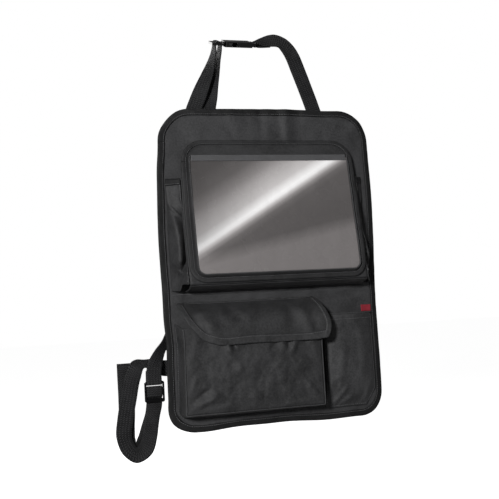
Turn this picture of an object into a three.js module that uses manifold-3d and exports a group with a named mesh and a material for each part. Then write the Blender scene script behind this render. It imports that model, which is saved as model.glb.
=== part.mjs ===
// Car seat back organizer: a hanging fabric panel with pockets, a tablet sleeve and webbing straps.
// Millimetres, +X to the right, +Z up, the pockets face -Y. The origin is on the back of the panel.
import * as THREE from 'three';
import { mergeVertices } from 'three/addons/utils/BufferGeometryUtils.js';
import Module from 'manifold-3d';

const wasm = await Module();
wasm.setup();

// Cloth and tape
const CLOTH = 1.0;
const SEAM_GAP = 0.3;
const TAPE_PLY = 0.8;
const WEBBING_WIDTH = 25.4;
const WEBBING_THICKNESS = 1.4;
const STEPS_PER_STOP = 3;

// Back panel and its edge binding
const PANEL_WIDTH = 368;
const PANEL_HEIGHT = 520;
const PANEL_TOP_CORNER = 54;
const PANEL_FOOT_CORNER = 42;
const PANEL_THICKNESS = 2.4;
const BINDING_WIDTH = 10;
const PANEL_CELL_LEFT = -62;
const PANEL_CELL_RIGHT = 58;
const PANEL_CELL_TOP = 62;
const PANEL_CELL_BOTTOM = -28;

// Tablet holder, hinged on the panel along its top edge
const HOLDER_WIDTH = 296;
const HOLDER_LENGTH = 236;
const HOLDER_TOP_CORNER = 36;
const HOLDER_BOTTOM_CORNER = 24;
const HOLDER_TOP_Z = 207;
const HOLDER_TILT = THREE.MathUtils.degToRad(10.75);
const HOLDER_BINDING = 6;
const SLEEVE_DEPTH = 5.6;
const SLEEVE_SLOPE = 3;
const SLEEVE_RIM = 2.6;
const FILM_THICKNESS = 0.5;
const FILM_LAP = 0.5;
const MOUTH_DROP = 37;
const MOUTH_TAPE_HEIGHT = 10;
const MOUTH_TAPE_INSET = 2.2;
const WINDOW_CORNER = 12;

// Bellows pocket behind the tablet holder
const BELLOWS_LEFT = -150;
const BELLOWS_RIGHT = 151;
const BELLOWS_TOP_Z = 146;
const BELLOWS_FOOT_DROP = 3.1;
const BELLOWS_SEAM_DROP = 9;
const BELLOWS_SEAM_LEFT = -170;
const BELLOWS_SEAM_RIGHT = 166;
const MOUTH_BAND_HEIGHT = 11;

// Flap pocket, lower left
const POCKET_LEFT = -163;
const POCKET_RIGHT = 65;
const POCKET_TOP_Z = -96;
const POCKET_BOTTOM_Z = -231;
const POCKET_DEPTH = 36;
const POCKET_SPREAD = 5;
const POCKET_CORNER = 12;
const POCKET_FRONT_CORNER = 2;
const POCKET_CREASE = 4;
const FLAP_SEAM_Z = -57;
const FLAP_DROP = 67;
const FLAP_LEFT = -165;
const FLAP_RIGHT = 68;
const FLAP_FLARE = 12;
const FLAP_SWEEP = 52;
const FLAP_CLEARANCE = 3.2;
const FLAP_BINDING = 8;
const CLOSURE_WIDTH = 60;
const CLOSURE_HEIGHT = 16;

// Slim pocket, lower right
const SLIM_LEFT = 80;
const SLIM_RIGHT = 172;
const SLIM_TOP_Z = -86;
const SLIM_BOTTOM_Z = -243;
const SLIM_BULGE = 15;
const SLIM_CHAMFER = 18;
const SLIM_CHAMFER_HEIGHT = 28;

// Side label
const LABEL_WIDTH = 19;
const LABEL_HEIGHT = 11;
const LABEL_Z = -79.5;

// Side-release buckle of the headrest strap, and the ladder lock of the belt
const BUCKLE_Y = 4;
const BUCKLE_RISE = 113; // over the panel's top edge
const BUCKLE_Z = PANEL_HEIGHT / 2 + BUCKLE_RISE;
const BUCKLE_WIDTH = 32;
const BUCKLE_LEAN = THREE.MathUtils.degToRad(22);
const TONGUE_END_X = -87;
const SOCKET_START_X = -65;
const SOCKET_LENGTH = 55;
const SOCKET_HEIGHT = 9;
const SOCKET_WALL = 2.6;
const TUNNEL_ROOM = 1;
const PLASTIC_PLATE = 4;
const PLATE_CORNER = 3;
const WEB_SLOT_WIDTH = 26.4;
const BAR_WIDTH = 5;
const SLOT_LENGTH = 4.5;
const END_BAR = 3.5;
const LOCK_REACH = 23.3;
const LOCK_RISE = 66.5; // over the panel's foot
const LOCK_Z = LOCK_RISE - PANEL_HEIGHT / 2;
const LOCK_WIDTH = 31.6;
const LOCK_HEIGHT = 33;
const LOCK_TOP_BAR = 4;
const LOCK_MIDDLE_BAR = 12.5;
const LOCK_SLOT = 5.4;
const BELT_RISE = 102; // over the panel's foot
const BELT_Z = BELT_RISE - PANEL_HEIGHT / 2;
const BELT_END_X = 168;

// Colours
const PANEL_COLOR = 0x2a2b2e;
const POCKET_COLOR = 0x2f3033;
const TAPE_COLOR = 0x1e1f21;
const WEBBING_COLOR = 0x1d1e20;
const PLASTIC_COLOR = 0x141416;
const FILM_COLOR = 0x6f6a68;
const MOUTH_TAPE_COLOR = 0x55565a;
const LABEL_COLOR = 0x5a1420;

const object = new THREE.Group();

function clothMaterial(color) {
  return new THREE.MeshStandardMaterial({ color, roughness: 0.85, metalness: 0 });
}

function addPiece(parent, name, geometry, material) {
  const mesh = new THREE.Mesh(geometry, material);
  mesh.name = name;
  parent.add(mesh);
  return mesh;
}

// Geometry helpers

function positionsOnly(geometry) {
  const bare = new THREE.BufferGeometry();
  bare.setAttribute('position', geometry.getAttribute('position').clone());
  if (geometry.index) {
    bare.setIndex(geometry.index.clone());
  }
  return mergeVertices(bare, 1e-4);
}

function signedVolume(geometry) {
  const position = geometry.getAttribute('position');
  const index = geometry.index;
  const corners = [new THREE.Vector3(), new THREE.Vector3(), new THREE.Vector3()];
  let volume = 0;
  for (let i = 0; i < index.count; i += 3) {
    corners.forEach((corner, k) => corner.fromBufferAttribute(position, index.getX(i + k)));
    volume += corners[0].dot(corners[1].clone().cross(corners[2])) / 6;
  }
  return volume;
}

function facingOut(geometry) {
  const merged = positionsOnly(geometry);
  if (signedVolume(merged) < 0) {
    const order = merged.index.array;
    for (let i = 0; i < order.length; i += 3) {
      const kept = order[i + 1];
      order[i + 1] = order[i + 2];
      order[i + 2] = kept;
    }
  }
  return merged;
}

function toSolid(geometry) {
  const merged = facingOut(geometry);
  const vertProperties = new Float32Array(merged.getAttribute('position').array);
  const triVerts = new Uint32Array(merged.index.array);
  return new wasm.Manifold(new wasm.Mesh({ numProp: 3, vertProperties, triVerts }));
}

function fromSolid(solid) {
  const mesh = solid.getMesh();
  const geometry = new THREE.BufferGeometry();
  geometry.setAttribute('position', new THREE.BufferAttribute(new Float32Array(mesh.vertProperties), 3));
  geometry.setIndex(new THREE.BufferAttribute(new Uint32Array(mesh.triVerts), 1));
  return geometry;
}

// A plate whose outline is drawn in X and Z, with its back at y = back and its front towards -Y.
function plate(shape, back, thickness, curveSegments = 5) {
  const geometry = new THREE.ExtrudeGeometry(shape, { depth: thickness, bevelEnabled: false, curveSegments });
  geometry.rotateX(Math.PI / 2);
  geometry.translate(0, back, 0);
  return geometry;
}

function roundedRectangle(left, bottom, right, top, bottomCorner, topCorner = bottomCorner) {
  const shape = new THREE.Shape();
  shape.moveTo(left + bottomCorner, bottom);
  shape.lineTo(right - bottomCorner, bottom);
  shape.absarc(right - bottomCorner, bottom + bottomCorner, bottomCorner, -Math.PI / 2, 0, false);
  shape.lineTo(right, top - topCorner);
  shape.absarc(right - topCorner, top - topCorner, topCorner, 0, Math.PI / 2, false);
  shape.lineTo(left + topCorner, top);
  shape.absarc(left + topCorner, top - topCorner, topCorner, Math.PI / 2, Math.PI, false);
  shape.lineTo(left, bottom + bottomCorner);
  shape.absarc(left + bottomCorner, bottom + bottomCorner, bottomCorner, Math.PI, Math.PI * 1.5, false);
  return shape;
}

function box(lengthX, lengthY, lengthZ, x, y, z) {
  const geometry = new THREE.BoxGeometry(lengthX, lengthY, lengthZ);
  geometry.translate(x, y, z);
  return geometry;
}

// A sheet of cloth with a real thickness: place(u, v) gives its middle surface for u and v from 0 to 1.
function clothSheet(columns, rows, thickness, place) {
  const step = 1e-3;
  const geometry = new THREE.BoxGeometry(1, 1, 1, columns, rows, 1);
  const position = geometry.getAttribute('position');
  for (let i = 0; i < position.count; i += 1) {
    const u = position.getX(i) + 0.5;
    const v = position.getY(i) + 0.5;
    const alongU = place(Math.min(u + step, 1), v).sub(place(Math.max(u - step, 0), v));
    const alongV = place(u, Math.min(v + step, 1)).sub(place(u, Math.max(v - step, 0)));
    const normal = alongU.cross(alongV).normalize();
    const point = place(u, v).addScaledVector(normal, position.getZ(i) * thickness);
    position.setXYZ(i, point.x, point.y, point.z);
  }
  return facingOut(geometry);
}

// Straight runs between stops, for the folded sections of the gussets.
function between(stops, t) {
  const scaled = THREE.MathUtils.clamp(t, 0, 1) * (stops.length - 1);
  const first = Math.min(Math.floor(scaled), stops.length - 2);
  return THREE.MathUtils.lerp(stops[first], stops[first + 1], scaled - first);
}

// A route with the direction across it chosen at each stop, so a flat strap can twist and fold.
class StrapRoute extends THREE.CatmullRomCurve3 {
  constructor(stops) {
    super(stops.map((stop) => new THREE.Vector3(...stop.at)), false, 'centripetal');
    this.across = new THREE.CatmullRomCurve3(stops.map((stop) => new THREE.Vector3(...stop.across)));
  }

  // Steps are shared evenly among the stops, so tight turns round a bar get as many as long runs.
  getUtoTmapping(u) {
    return u;
  }

  computeFrenetFrames(steps) {
    const frames = { tangents: [], normals: [], binormals: [] };
    for (let i = 0; i <= steps; i += 1) {
      const t = i / steps;
      const tangent = this.getTangent(t);
      const across = this.across.getPoint(t);
      frames.tangents.push(tangent);
      frames.normals.push(across);
      frames.binormals.push(tangent.clone().cross(across).normalize());
    }
    return frames;
  }
}

function strap(stops) {
  const section = new THREE.Shape();
  section.moveTo(-WEBBING_WIDTH / 2, -WEBBING_THICKNESS / 2);
  section.lineTo(WEBBING_WIDTH / 2, -WEBBING_THICKNESS / 2);
  section.lineTo(WEBBING_WIDTH / 2, WEBBING_THICKNESS / 2);
  section.lineTo(-WEBBING_WIDTH / 2, WEBBING_THICKNESS / 2);
  section.closePath();
  const extrudePath = new StrapRoute(stops);
  const steps = STEPS_PER_STOP * (stops.length - 1);
  return facingOut(new THREE.ExtrudeGeometry(section, { steps, bevelEnabled: false, extrudePath }));
}

// Back panel

const panelFront = -PANEL_THICKNESS;
const sewnY = panelFront - SEAM_GAP - CLOTH / 2;

function panelHalfWidth(z) {
  const corner = z > 0 ? PANEL_TOP_CORNER : PANEL_FOOT_CORNER;
  const intoCorner = Math.max(Math.abs(z) - (PANEL_HEIGHT / 2 - corner), 0);
  const inset = corner - Math.sqrt(Math.max(corner ** 2 - intoCorner ** 2, 0));
  return PANEL_WIDTH / 2 - inset;
}

function backPanel() {
  const cornerSteps = 5;
  const intoCorner = (corner, step) => corner * (Math.sin((step / cornerSteps) * (Math.PI / 2)) - 1);
  const rows = [];
  for (let i = cornerSteps; i >= 0; i -= 1) {
    rows.push(PANEL_HEIGHT / 2 + intoCorner(PANEL_TOP_CORNER, i));
  }
  rows.push(PANEL_CELL_TOP, PANEL_CELL_BOTTOM);
  for (let i = 0; i <= cornerSteps; i += 1) {
    rows.push(-PANEL_HEIGHT / 2 - intoCorner(PANEL_FOOT_CORNER, i));
  }
  const geometry = new THREE.BoxGeometry(1, PANEL_THICKNESS, 1, 3, 1, rows.length - 1);
  const position = geometry.getAttribute('position');
  for (let i = 0; i < position.count; i += 1) {
    const z = rows[Math.round((0.5 - position.getZ(i)) * (rows.length - 1))];
    const half = panelHalfWidth(z);
    const columns = [-half, PANEL_CELL_LEFT, PANEL_CELL_RIGHT, half];
    const x = columns[Math.round((position.getX(i) + 0.5) * 3)];
    position.setXYZ(i, x, position.getY(i) - PANEL_THICKNESS / 2, z);
  }
  return facingOut(geometry);
}

// A tape folded over the edge of a plate: a ring with a C section.
function foldedBinding(outlineAt, tapeWidth, backFace, frontFace) {
  const reach = SEAM_GAP + TAPE_PLY;
  const tape = toSolid(plate(outlineAt(reach), backFace + reach, backFace - frontFace + 2 * reach));
  const middle = plate(outlineAt(-tapeWidth), backFace + 2 * reach, backFace - frontFace + 4 * reach);
  const wrapped = plate(outlineAt(SEAM_GAP), backFace + SEAM_GAP, backFace - frontFace + 2 * SEAM_GAP);
  return fromSolid(tape.subtract(toSolid(middle)).subtract(toSolid(wrapped)));
}

function panelOutline(offset) {
  const halfWidth = PANEL_WIDTH / 2 + offset;
  const halfHeight = PANEL_HEIGHT / 2 + offset;
  const foot = PANEL_FOOT_CORNER + offset;
  return roundedRectangle(-halfWidth, -halfHeight, halfWidth, halfHeight, foot, PANEL_TOP_CORNER + offset);
}

addPiece(object, 'back_panel', backPanel(), clothMaterial(PANEL_COLOR));
const edgeBinding = foldedBinding(panelOutline, BINDING_WIDTH, 0, panelFront);
addPiece(object, 'edge_binding', edgeBinding, clothMaterial(TAPE_COLOR));

// Tablet holder, drawn flat in its own group with its top edge at z = 0 and tilted over the bellows

const bindingReach = SEAM_GAP + TAPE_PLY;
const holderTurn = bindingReach * (Math.cos(HOLDER_TILT) + Math.sin(HOLDER_TILT));
const holderY = panelFront - SEAM_GAP - holderTurn;
const holder = new THREE.Group();
holder.position.set(0, holderY, HOLDER_TOP_Z);
holder.rotation.x = -HOLDER_TILT;
object.add(holder);

function holderOutline(offset) {
  const half = HOLDER_WIDTH / 2 + offset;
  const low = HOLDER_BOTTOM_CORNER + offset;
  const high = HOLDER_TOP_CORNER + offset;
  return roundedRectangle(-half, -HOLDER_LENGTH - offset, half, offset, low, high);
}

addPiece(holder, 'holder_back', plate(holderOutline(0), 0, CLOTH), clothMaterial(POCKET_COLOR));

// The sleeve's front: a strip down the left side, round the bottom and up the right side.
const sleeveInset = HOLDER_BINDING + SLEEVE_SLOPE + SLEEVE_RIM;
const sleeveFoot = -CLOTH - SEAM_GAP - CLOTH / 2;
const sleeveFace = -CLOTH - SLEEVE_DEPTH - FILM_THICKNESS - SEAM_GAP - CLOTH / 2;

function sleeveEdge(u, inset) {
  const half = HOLDER_WIDTH / 2 - inset;
  const foot = -HOLDER_LENGTH + inset;
  const top = -MOUTH_DROP + MOUTH_TAPE_HEIGHT;
  const radius = Math.max(HOLDER_BOTTOM_CORNER - inset, WINDOW_CORNER * (inset / sleeveInset));
  const side = top - foot - radius;
  const base = 2 * (half - radius);
  const stops = [0, 0.28, 0.4, 0.6, 0.72, 1];
  const run = (first) => (u - stops[first]) / (stops[first + 1] - stops[first]);
  const narrowed = (z) => {
    const intoCorner = Math.max(z + HOLDER_TOP_CORNER, 0);
    return half - HOLDER_TOP_CORNER + Math.sqrt(HOLDER_TOP_CORNER ** 2 - intoCorner ** 2);
  };
  if (u < stops[1]) {
    const z = top - side * run(0);
    return [-narrowed(z), z];
  }
  if (u < stops[2]) {
    const turn = run(1) * (Math.PI / 2);
    return [-half + radius * (1 - Math.cos(turn)), foot + radius * (1 - Math.sin(turn))];
  }
  if (u < stops[3]) {
    return [-half + radius + base * run(2), foot];
  }
  if (u < stops[4]) {
    const turn = run(3) * (Math.PI / 2);
    return [half - radius * (1 - Math.sin(turn)), foot + radius * (1 - Math.cos(turn))];
  }
  const z = foot + radius + side * run(4);
  return [narrowed(z), z];
}

function sleeveFront(u, v) {
  const bound = HOLDER_BINDING + SEAM_GAP + CLOTH / 2;
  const insets = [2 * SEAM_GAP, bound, bound + SLEEVE_SLOPE, sleeveInset];
  const depths = [sleeveFoot, sleeveFoot, sleeveFace, sleeveFace];
  const [x, z] = sleeveEdge(u, between(insets, v));
  return new THREE.Vector3(x, between(depths, v), z);
}

addPiece(holder, 'window_frame', clothSheet(25, 3, CLOTH, sleeveFront), clothMaterial(TAPE_COLOR));

const filmBack = -CLOTH - SLEEVE_DEPTH;
const windowHalf = HOLDER_WIDTH / 2 - sleeveInset;
const filmOutline = roundedRectangle(
  -windowHalf - FILM_LAP,
  -HOLDER_LENGTH + sleeveInset - FILM_LAP,
  windowHalf + FILM_LAP,
  -MOUTH_DROP + MOUTH_TAPE_HEIGHT / 2,
  WINDOW_CORNER,
  1,
);
const filmMaterial = new THREE.MeshStandardMaterial({
  color: FILM_COLOR, roughness: 0.1, metalness: 0, transparent: true, opacity: 0.6,
});
addPiece(holder, 'window_film', plate(filmOutline, filmBack, FILM_THICKNESS), filmMaterial);

const mouthTapeBack = filmBack - FILM_THICKNESS - SEAM_GAP;
const mouthTape = box(
  2 * (windowHalf - MOUTH_TAPE_INSET),
  CLOTH,
  MOUTH_TAPE_HEIGHT,
  0,
  mouthTapeBack - CLOTH / 2,
  -MOUTH_DROP + MOUTH_TAPE_HEIGHT / 2,
);
addPiece(holder, 'mouth_tape', facingOut(mouthTape), clothMaterial(MOUTH_TAPE_COLOR));

const holderBinding = foldedBinding(holderOutline, HOLDER_BINDING, 0, sleeveFoot - CLOTH / 2);
addPiece(holder, 'holder_binding', holderBinding, clothMaterial(TAPE_COLOR));

// Bellows pocket: its front lies behind the holder, and its sides and foot fold back to the panel

const bellowsOffset = bindingReach + SEAM_GAP + CLOTH;
const bellowsFrontFoot = HOLDER_TOP_Z - HOLDER_LENGTH * Math.cos(HOLDER_TILT) - BELLOWS_FOOT_DROP;
const bellowsSeam = bellowsFrontFoot - BELLOWS_SEAM_DROP;

function bellowsY(z) {
  const slope = (HOLDER_TOP_Z - z) * Math.tan(HOLDER_TILT);
  return holderY - slope + bellowsOffset / Math.cos(HOLDER_TILT);
}

function bellowsZ(v) {
  return THREE.MathUtils.lerp(BELLOWS_TOP_Z, bellowsFrontFoot, v);
}

function bellowsFront(u, v) {
  const z = bellowsZ(v);
  const x = THREE.MathUtils.lerp(BELLOWS_LEFT, BELLOWS_RIGHT, u);
  return new THREE.Vector3(x, bellowsY(z), z);
}

addPiece(object, 'bellows_front', clothSheet(6, 6, CLOTH, bellowsFront), clothMaterial(POCKET_COLOR));

// A gusset's section from the panel to the front: out over the panel, folded in, then to the front edge.
function bellowsSide(frontX, seamX, bulges) {
  const outward = Math.sign(seamX);
  return (u, v) => {
    const z = THREE.MathUtils.lerp(BELLOWS_TOP_Z - 1, bellowsSeam + 1, v);
    const frontZ = THREE.MathUtils.lerp(BELLOWS_TOP_Z - 1, bellowsFrontFoot + 1, v);
    const frontY = bellowsY(frontZ);
    const edgeX = frontX + outward * (SEAM_GAP + CLOTH);
    const bulgeX = seamX + outward * between(bulges, v);
    const tuckX = (edgeX + seamX) / 2 - outward * 4 * Math.sin(Math.PI * v);
    const x = between([seamX, bulgeX, tuckX, edgeX], u);
    const y = between([sewnY, sewnY + 0.4 * (frontY - sewnY), sewnY + 0.6 * (frontY - sewnY), frontY], u);
    return new THREE.Vector3(x, y, between([z, z, frontZ, frontZ], u));
  };
}

const leftGusset = bellowsSide(BELLOWS_LEFT, BELLOWS_SEAM_LEFT, [2, 1, -1, -2, -6, -8]);
const rightGusset = bellowsSide(BELLOWS_RIGHT, BELLOWS_SEAM_RIGHT, [-12, -3, -14, -8, 0, 2]);
addPiece(object, 'bellows_left_gusset', clothSheet(6, 10, CLOTH, leftGusset), clothMaterial(POCKET_COLOR));
addPiece(object, 'bellows_right_gusset', clothSheet(6, 10, CLOTH, rightGusset), clothMaterial(POCKET_COLOR));

function bellowsFoot(u, v) {
  const x = THREE.MathUtils.lerp(BELLOWS_LEFT, BELLOWS_RIGHT, u);
  const frontY = bellowsY(bellowsFrontFoot);
  const footZ = bellowsFrontFoot - SEAM_GAP - CLOTH;
  const sag = 3 * Math.sin(Math.PI * v);
  const z = THREE.MathUtils.lerp(bellowsSeam, footZ, v) - sag;
  return new THREE.Vector3(x, THREE.MathUtils.lerp(sewnY, frontY, v), z);
}

addPiece(object, 'bellows_foot_gusset', clothSheet(6, 4, CLOTH, bellowsFoot), clothMaterial(POCKET_COLOR));

// The bound mouth of the bellows runs along the inside of its front, from side to side.
const bandInset = SEAM_GAP + CLOTH;

function mouthBand(u, v) {
  const z = BELLOWS_TOP_Z - MOUTH_BAND_HEIGHT * (1 - v);
  const x = THREE.MathUtils.lerp(BELLOWS_LEFT + bandInset, BELLOWS_RIGHT - bandInset, u);
  return new THREE.Vector3(x, bellowsY(z) + bandInset / Math.cos(HOLDER_TILT), z);
}

addPiece(object, 'bellows_mouth_band', clothSheet(6, 1, TAPE_PLY, mouthBand), clothMaterial(TAPE_COLOR));

// Flap pocket

const pocketFrontY = panelFront - POCKET_DEPTH;

function pocketFront(u, v) {
  const x = THREE.MathUtils.lerp(POCKET_LEFT, POCKET_RIGHT, u);
  const z = THREE.MathUtils.lerp(POCKET_BOTTOM_Z, POCKET_TOP_Z, v);
  const swell = 1.6 * Math.sin(Math.PI * u) * Math.sin(Math.PI * v);
  return new THREE.Vector3(x, pocketFrontY - swell, z);
}

addPiece(object, 'flap_pocket_front', clothSheet(8, 6, CLOTH, pocketFront), clothMaterial(POCKET_COLOR));

// One strip runs down the left side, along the bottom and up the right side.
function pocketGusset(u, v) {
  const spread = SEAM_GAP + CLOTH + POCKET_SPREAD * (1 - v);
  const left = POCKET_LEFT - spread;
  const right = POCKET_RIGHT + spread;
  const foot = POCKET_BOTTOM_Z - spread;
  const top = POCKET_TOP_Z + 8 * (1 - v);
  const crease = POCKET_CREASE * Math.sin(Math.PI * v);
  const y = THREE.MathUtils.lerp(sewnY, pocketFrontY, v);
  const corner = THREE.MathUtils.lerp(POCKET_CORNER, POCKET_FRONT_CORNER, v);
  const stops = [0, 0.32, 0.4, 0.6, 0.68, 1];
  const run = (first) => (u - stops[first]) / (stops[first + 1] - stops[first]);
  if (u < stops[1]) {
    const fade = Math.sin(Math.PI * run(0));
    return new THREE.Vector3(left + crease * fade, y, THREE.MathUtils.lerp(top, foot + corner, run(0)));
  }
  if (u < stops[2]) {
    const turn = run(1) * (Math.PI / 2);
    const x = left + corner * (1 - Math.cos(turn));
    return new THREE.Vector3(x, y, foot + corner * (1 - Math.sin(turn)));
  }
  if (u < stops[3]) {
    const sag = 2 * Math.sin(Math.PI * run(2)) * Math.sin(Math.PI * v);
    const x = THREE.MathUtils.lerp(left + corner, right - corner, run(2));
    return new THREE.Vector3(x, y, foot - sag);
  }
  if (u < stops[4]) {
    const turn = run(3) * (Math.PI / 2);
    const x = right - corner * (1 - Math.sin(turn));
    return new THREE.Vector3(x, y, foot + corner * (1 - Math.cos(turn)));
  }
  const fade = Math.sin(Math.PI * run(4));
  return new THREE.Vector3(right - crease * fade, y, THREE.MathUtils.lerp(foot + corner, top, run(4)));
}

addPiece(object, 'flap_pocket_gusset', clothSheet(25, 4, CLOTH, pocketGusset), clothMaterial(POCKET_COLOR));

// The flap leaves its seam on the panel, bows out over the pocket's mouth and hangs in front of it.
const flapHang = pocketFrontY - FLAP_CLEARANCE - CLOTH;
const flapProfile = new THREE.CatmullRomCurve3([
  new THREE.Vector3(0, sewnY, FLAP_SEAM_Z),
  new THREE.Vector3(0, flapHang * 0.36, FLAP_SEAM_Z - FLAP_DROP * 0.1),
  new THREE.Vector3(0, flapHang * 0.7, FLAP_SEAM_Z - FLAP_DROP * 0.25),
  new THREE.Vector3(0, flapHang * 0.92, FLAP_SEAM_Z - FLAP_DROP * 0.45),
  new THREE.Vector3(0, flapHang, FLAP_SEAM_Z - FLAP_DROP * 0.7),
  new THREE.Vector3(0, flapHang - 2, FLAP_SEAM_Z - FLAP_DROP),
]);

function flapSurface(x, v) {
  const point = flapProfile.getPoint(THREE.MathUtils.clamp(v, 0, 1));
  const lift = 5 * v * THREE.MathUtils.smoothstep(x, POCKET_RIGHT - 30, POCKET_RIGHT + FLAP_FLARE);
  return new THREE.Vector3(x, point.y - lift, point.z);
}

// The flap's edge from its left seam end, round the bottom and up to its right seam end, as (x, v).
const flapEdge = new THREE.CatmullRomCurve3([
  new THREE.Vector3(FLAP_LEFT, 0, 0),
  new THREE.Vector3(FLAP_LEFT + FLAP_SWEEP * 0.1, 0.42, 0),
  new THREE.Vector3(FLAP_LEFT + FLAP_SWEEP * 0.42, 0.8, 0),
  new THREE.Vector3(FLAP_LEFT + FLAP_SWEEP, 0.98, 0),
  new THREE.Vector3((FLAP_LEFT + FLAP_RIGHT) / 2, 0.99, 0),
  new THREE.Vector3(FLAP_RIGHT - 6, 0.99, 0),
  new THREE.Vector3(FLAP_RIGHT + FLAP_FLARE * 0.75, 0.92, 0),
  new THREE.Vector3(FLAP_RIGHT + FLAP_FLARE, 0.76, 0),
  new THREE.Vector3(FLAP_RIGHT + FLAP_FLARE * 0.6, 0.45, 0),
  new THREE.Vector3(FLAP_RIGHT, 0, 0),
]);

function flapCloth(u, v) {
  const edge = flapEdge.getPoint(u);
  const seamX = THREE.MathUtils.lerp(FLAP_LEFT + 1, FLAP_RIGHT - 1, u);
  return flapSurface(THREE.MathUtils.lerp(seamX, edge.x, v), edge.y * v);
}

function flapBand(u, v) {
  const edge = flapEdge.getPoint(u);
  const ahead = flapEdge.getTangent(u);
  const inward = new THREE.Vector2(ahead.y * FLAP_DROP, -ahead.x).normalize();
  const reach = FLAP_BINDING * (1 - v);
  const x = edge.x + inward.x * reach;
  const down = THREE.MathUtils.clamp(edge.y + (inward.y * reach) / FLAP_DROP, 0, 1);
  const point = flapSurface(x, down);
  const lower = flapSurface(x, Math.min(down + 0.01, 1)).sub(flapSurface(x, Math.max(down - 0.01, 0)));
  const outward = new THREE.Vector3(0, lower.z, -lower.y).normalize();
  return point.addScaledVector(outward, CLOTH / 2 + 2 * SEAM_GAP + TAPE_PLY / 2);
}

addPiece(object, 'pocket_flap', clothSheet(24, 8, CLOTH, flapCloth), clothMaterial(POCKET_COLOR));
addPiece(object, 'flap_binding', clothSheet(36, 1, TAPE_PLY, flapBand), clothMaterial(TAPE_COLOR));

// Hook and loop closure under the flap: the loop half on the pocket, the hook half on the flap
const closureX = (POCKET_LEFT + POCKET_RIGHT) / 2;
const closureZ = FLAP_SEAM_Z - FLAP_DROP + FLAP_BINDING + CLOSURE_HEIGHT / 2;
const closureRoom = CLOTH / 2 + SEAM_GAP + TAPE_PLY / 2;

function loopTape(u, v) {
  const x = closureX + CLOSURE_WIDTH * (u - 0.5);
  const z = closureZ + CLOSURE_HEIGHT * (v - 0.5);
  const acrossPocket = (x - POCKET_LEFT) / (POCKET_RIGHT - POCKET_LEFT);
  const upPocket = (z - POCKET_BOTTOM_Z) / (POCKET_TOP_Z - POCKET_BOTTOM_Z);
  return pocketFront(acrossPocket, upPocket).add(new THREE.Vector3(0, -closureRoom, 0));
}

function hookTape(u, v) {
  const point = loopTape(u, v);
  return point.add(new THREE.Vector3(0, -SEAM_GAP - TAPE_PLY, 0));
}

addPiece(object, 'closure_loop_tape', clothSheet(4, 1, TAPE_PLY, loopTape), clothMaterial(TAPE_COLOR));
addPiece(object, 'closure_hook_tape', clothSheet(4, 1, TAPE_PLY, hookTape), clothMaterial(TAPE_COLOR));

// Slim pocket: one bulged sheet sewn to the panel at its sides and foot

function slimPocket(u, v) {
  const z = THREE.MathUtils.lerp(SLIM_BOTTOM_Z, SLIM_TOP_Z, v);
  const cut = THREE.MathUtils.clamp((SLIM_BOTTOM_Z + SLIM_CHAMFER_HEIGHT - z) / SLIM_CHAMFER_HEIGHT, 0, 1);
  const x = THREE.MathUtils.lerp(SLIM_LEFT, SLIM_RIGHT - SLIM_CHAMFER * cut, u);
  const round = Math.sin(Math.PI * u) ** 0.7;
  const upright = Math.min(Math.sin((Math.PI / 2) * Math.min(v * 3.2, 1)), 1);
  return new THREE.Vector3(x, sewnY - SLIM_BULGE * round * upright, z);
}

addPiece(object, 'slim_pocket', clothSheet(10, 10, CLOTH, slimPocket), clothMaterial(POCKET_COLOR));

// Side label, tucked under the binding's inner edge
const labelX = PANEL_WIDTH / 2 - BINDING_WIDTH - SEAM_GAP - LABEL_WIDTH / 2;
const label = box(LABEL_WIDTH, CLOTH, LABEL_HEIGHT, labelX, sewnY, LABEL_Z);
addPiece(object, 'side_label', facingOut(label), clothMaterial(LABEL_COLOR));

// Headrest strap and its side-release buckle

const plasticMaterial = clothMaterial(PLASTIC_COLOR);
plasticMaterial.roughness = 0.35;
const webbingMaterial = clothMaterial(WEBBING_COLOR);
const halfPlate = PLASTIC_PLATE / 2;
const halfWeb = WEBBING_THICKNESS / 2;
const outerSlotX = TONGUE_END_X + BAR_WIDTH + SLOT_LENGTH / 2;
const innerSlotX = outerSlotX + SLOT_LENGTH + BAR_WIDTH;
const outerBarX = outerSlotX + SLOT_LENGTH / 2;
const turnRoom = (SEAM_GAP + halfWeb) * 0.85;
const sewnBackY = SEAM_GAP + halfWeb;
const overBindingY = bindingReach + SEAM_GAP + halfWeb;
const panelTop = PANEL_HEIGHT / 2;

// A stop near the buckle, where the webbing's front edge hangs lower by the lean. The distance above is
// square to the webbing, and facing is -1 where its first edge lies at the back.
function leaning(x, lean, above, rise = 0, facing = 1) {
  const cos = Math.cos(lean);
  const sin = Math.sin(lean);
  return {
    at: [x, BUCKLE_Y - above * sin, BUCKLE_Z + rise + above * cos],
    across: [0, facing * cos, facing * sin],
  };
}

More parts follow.
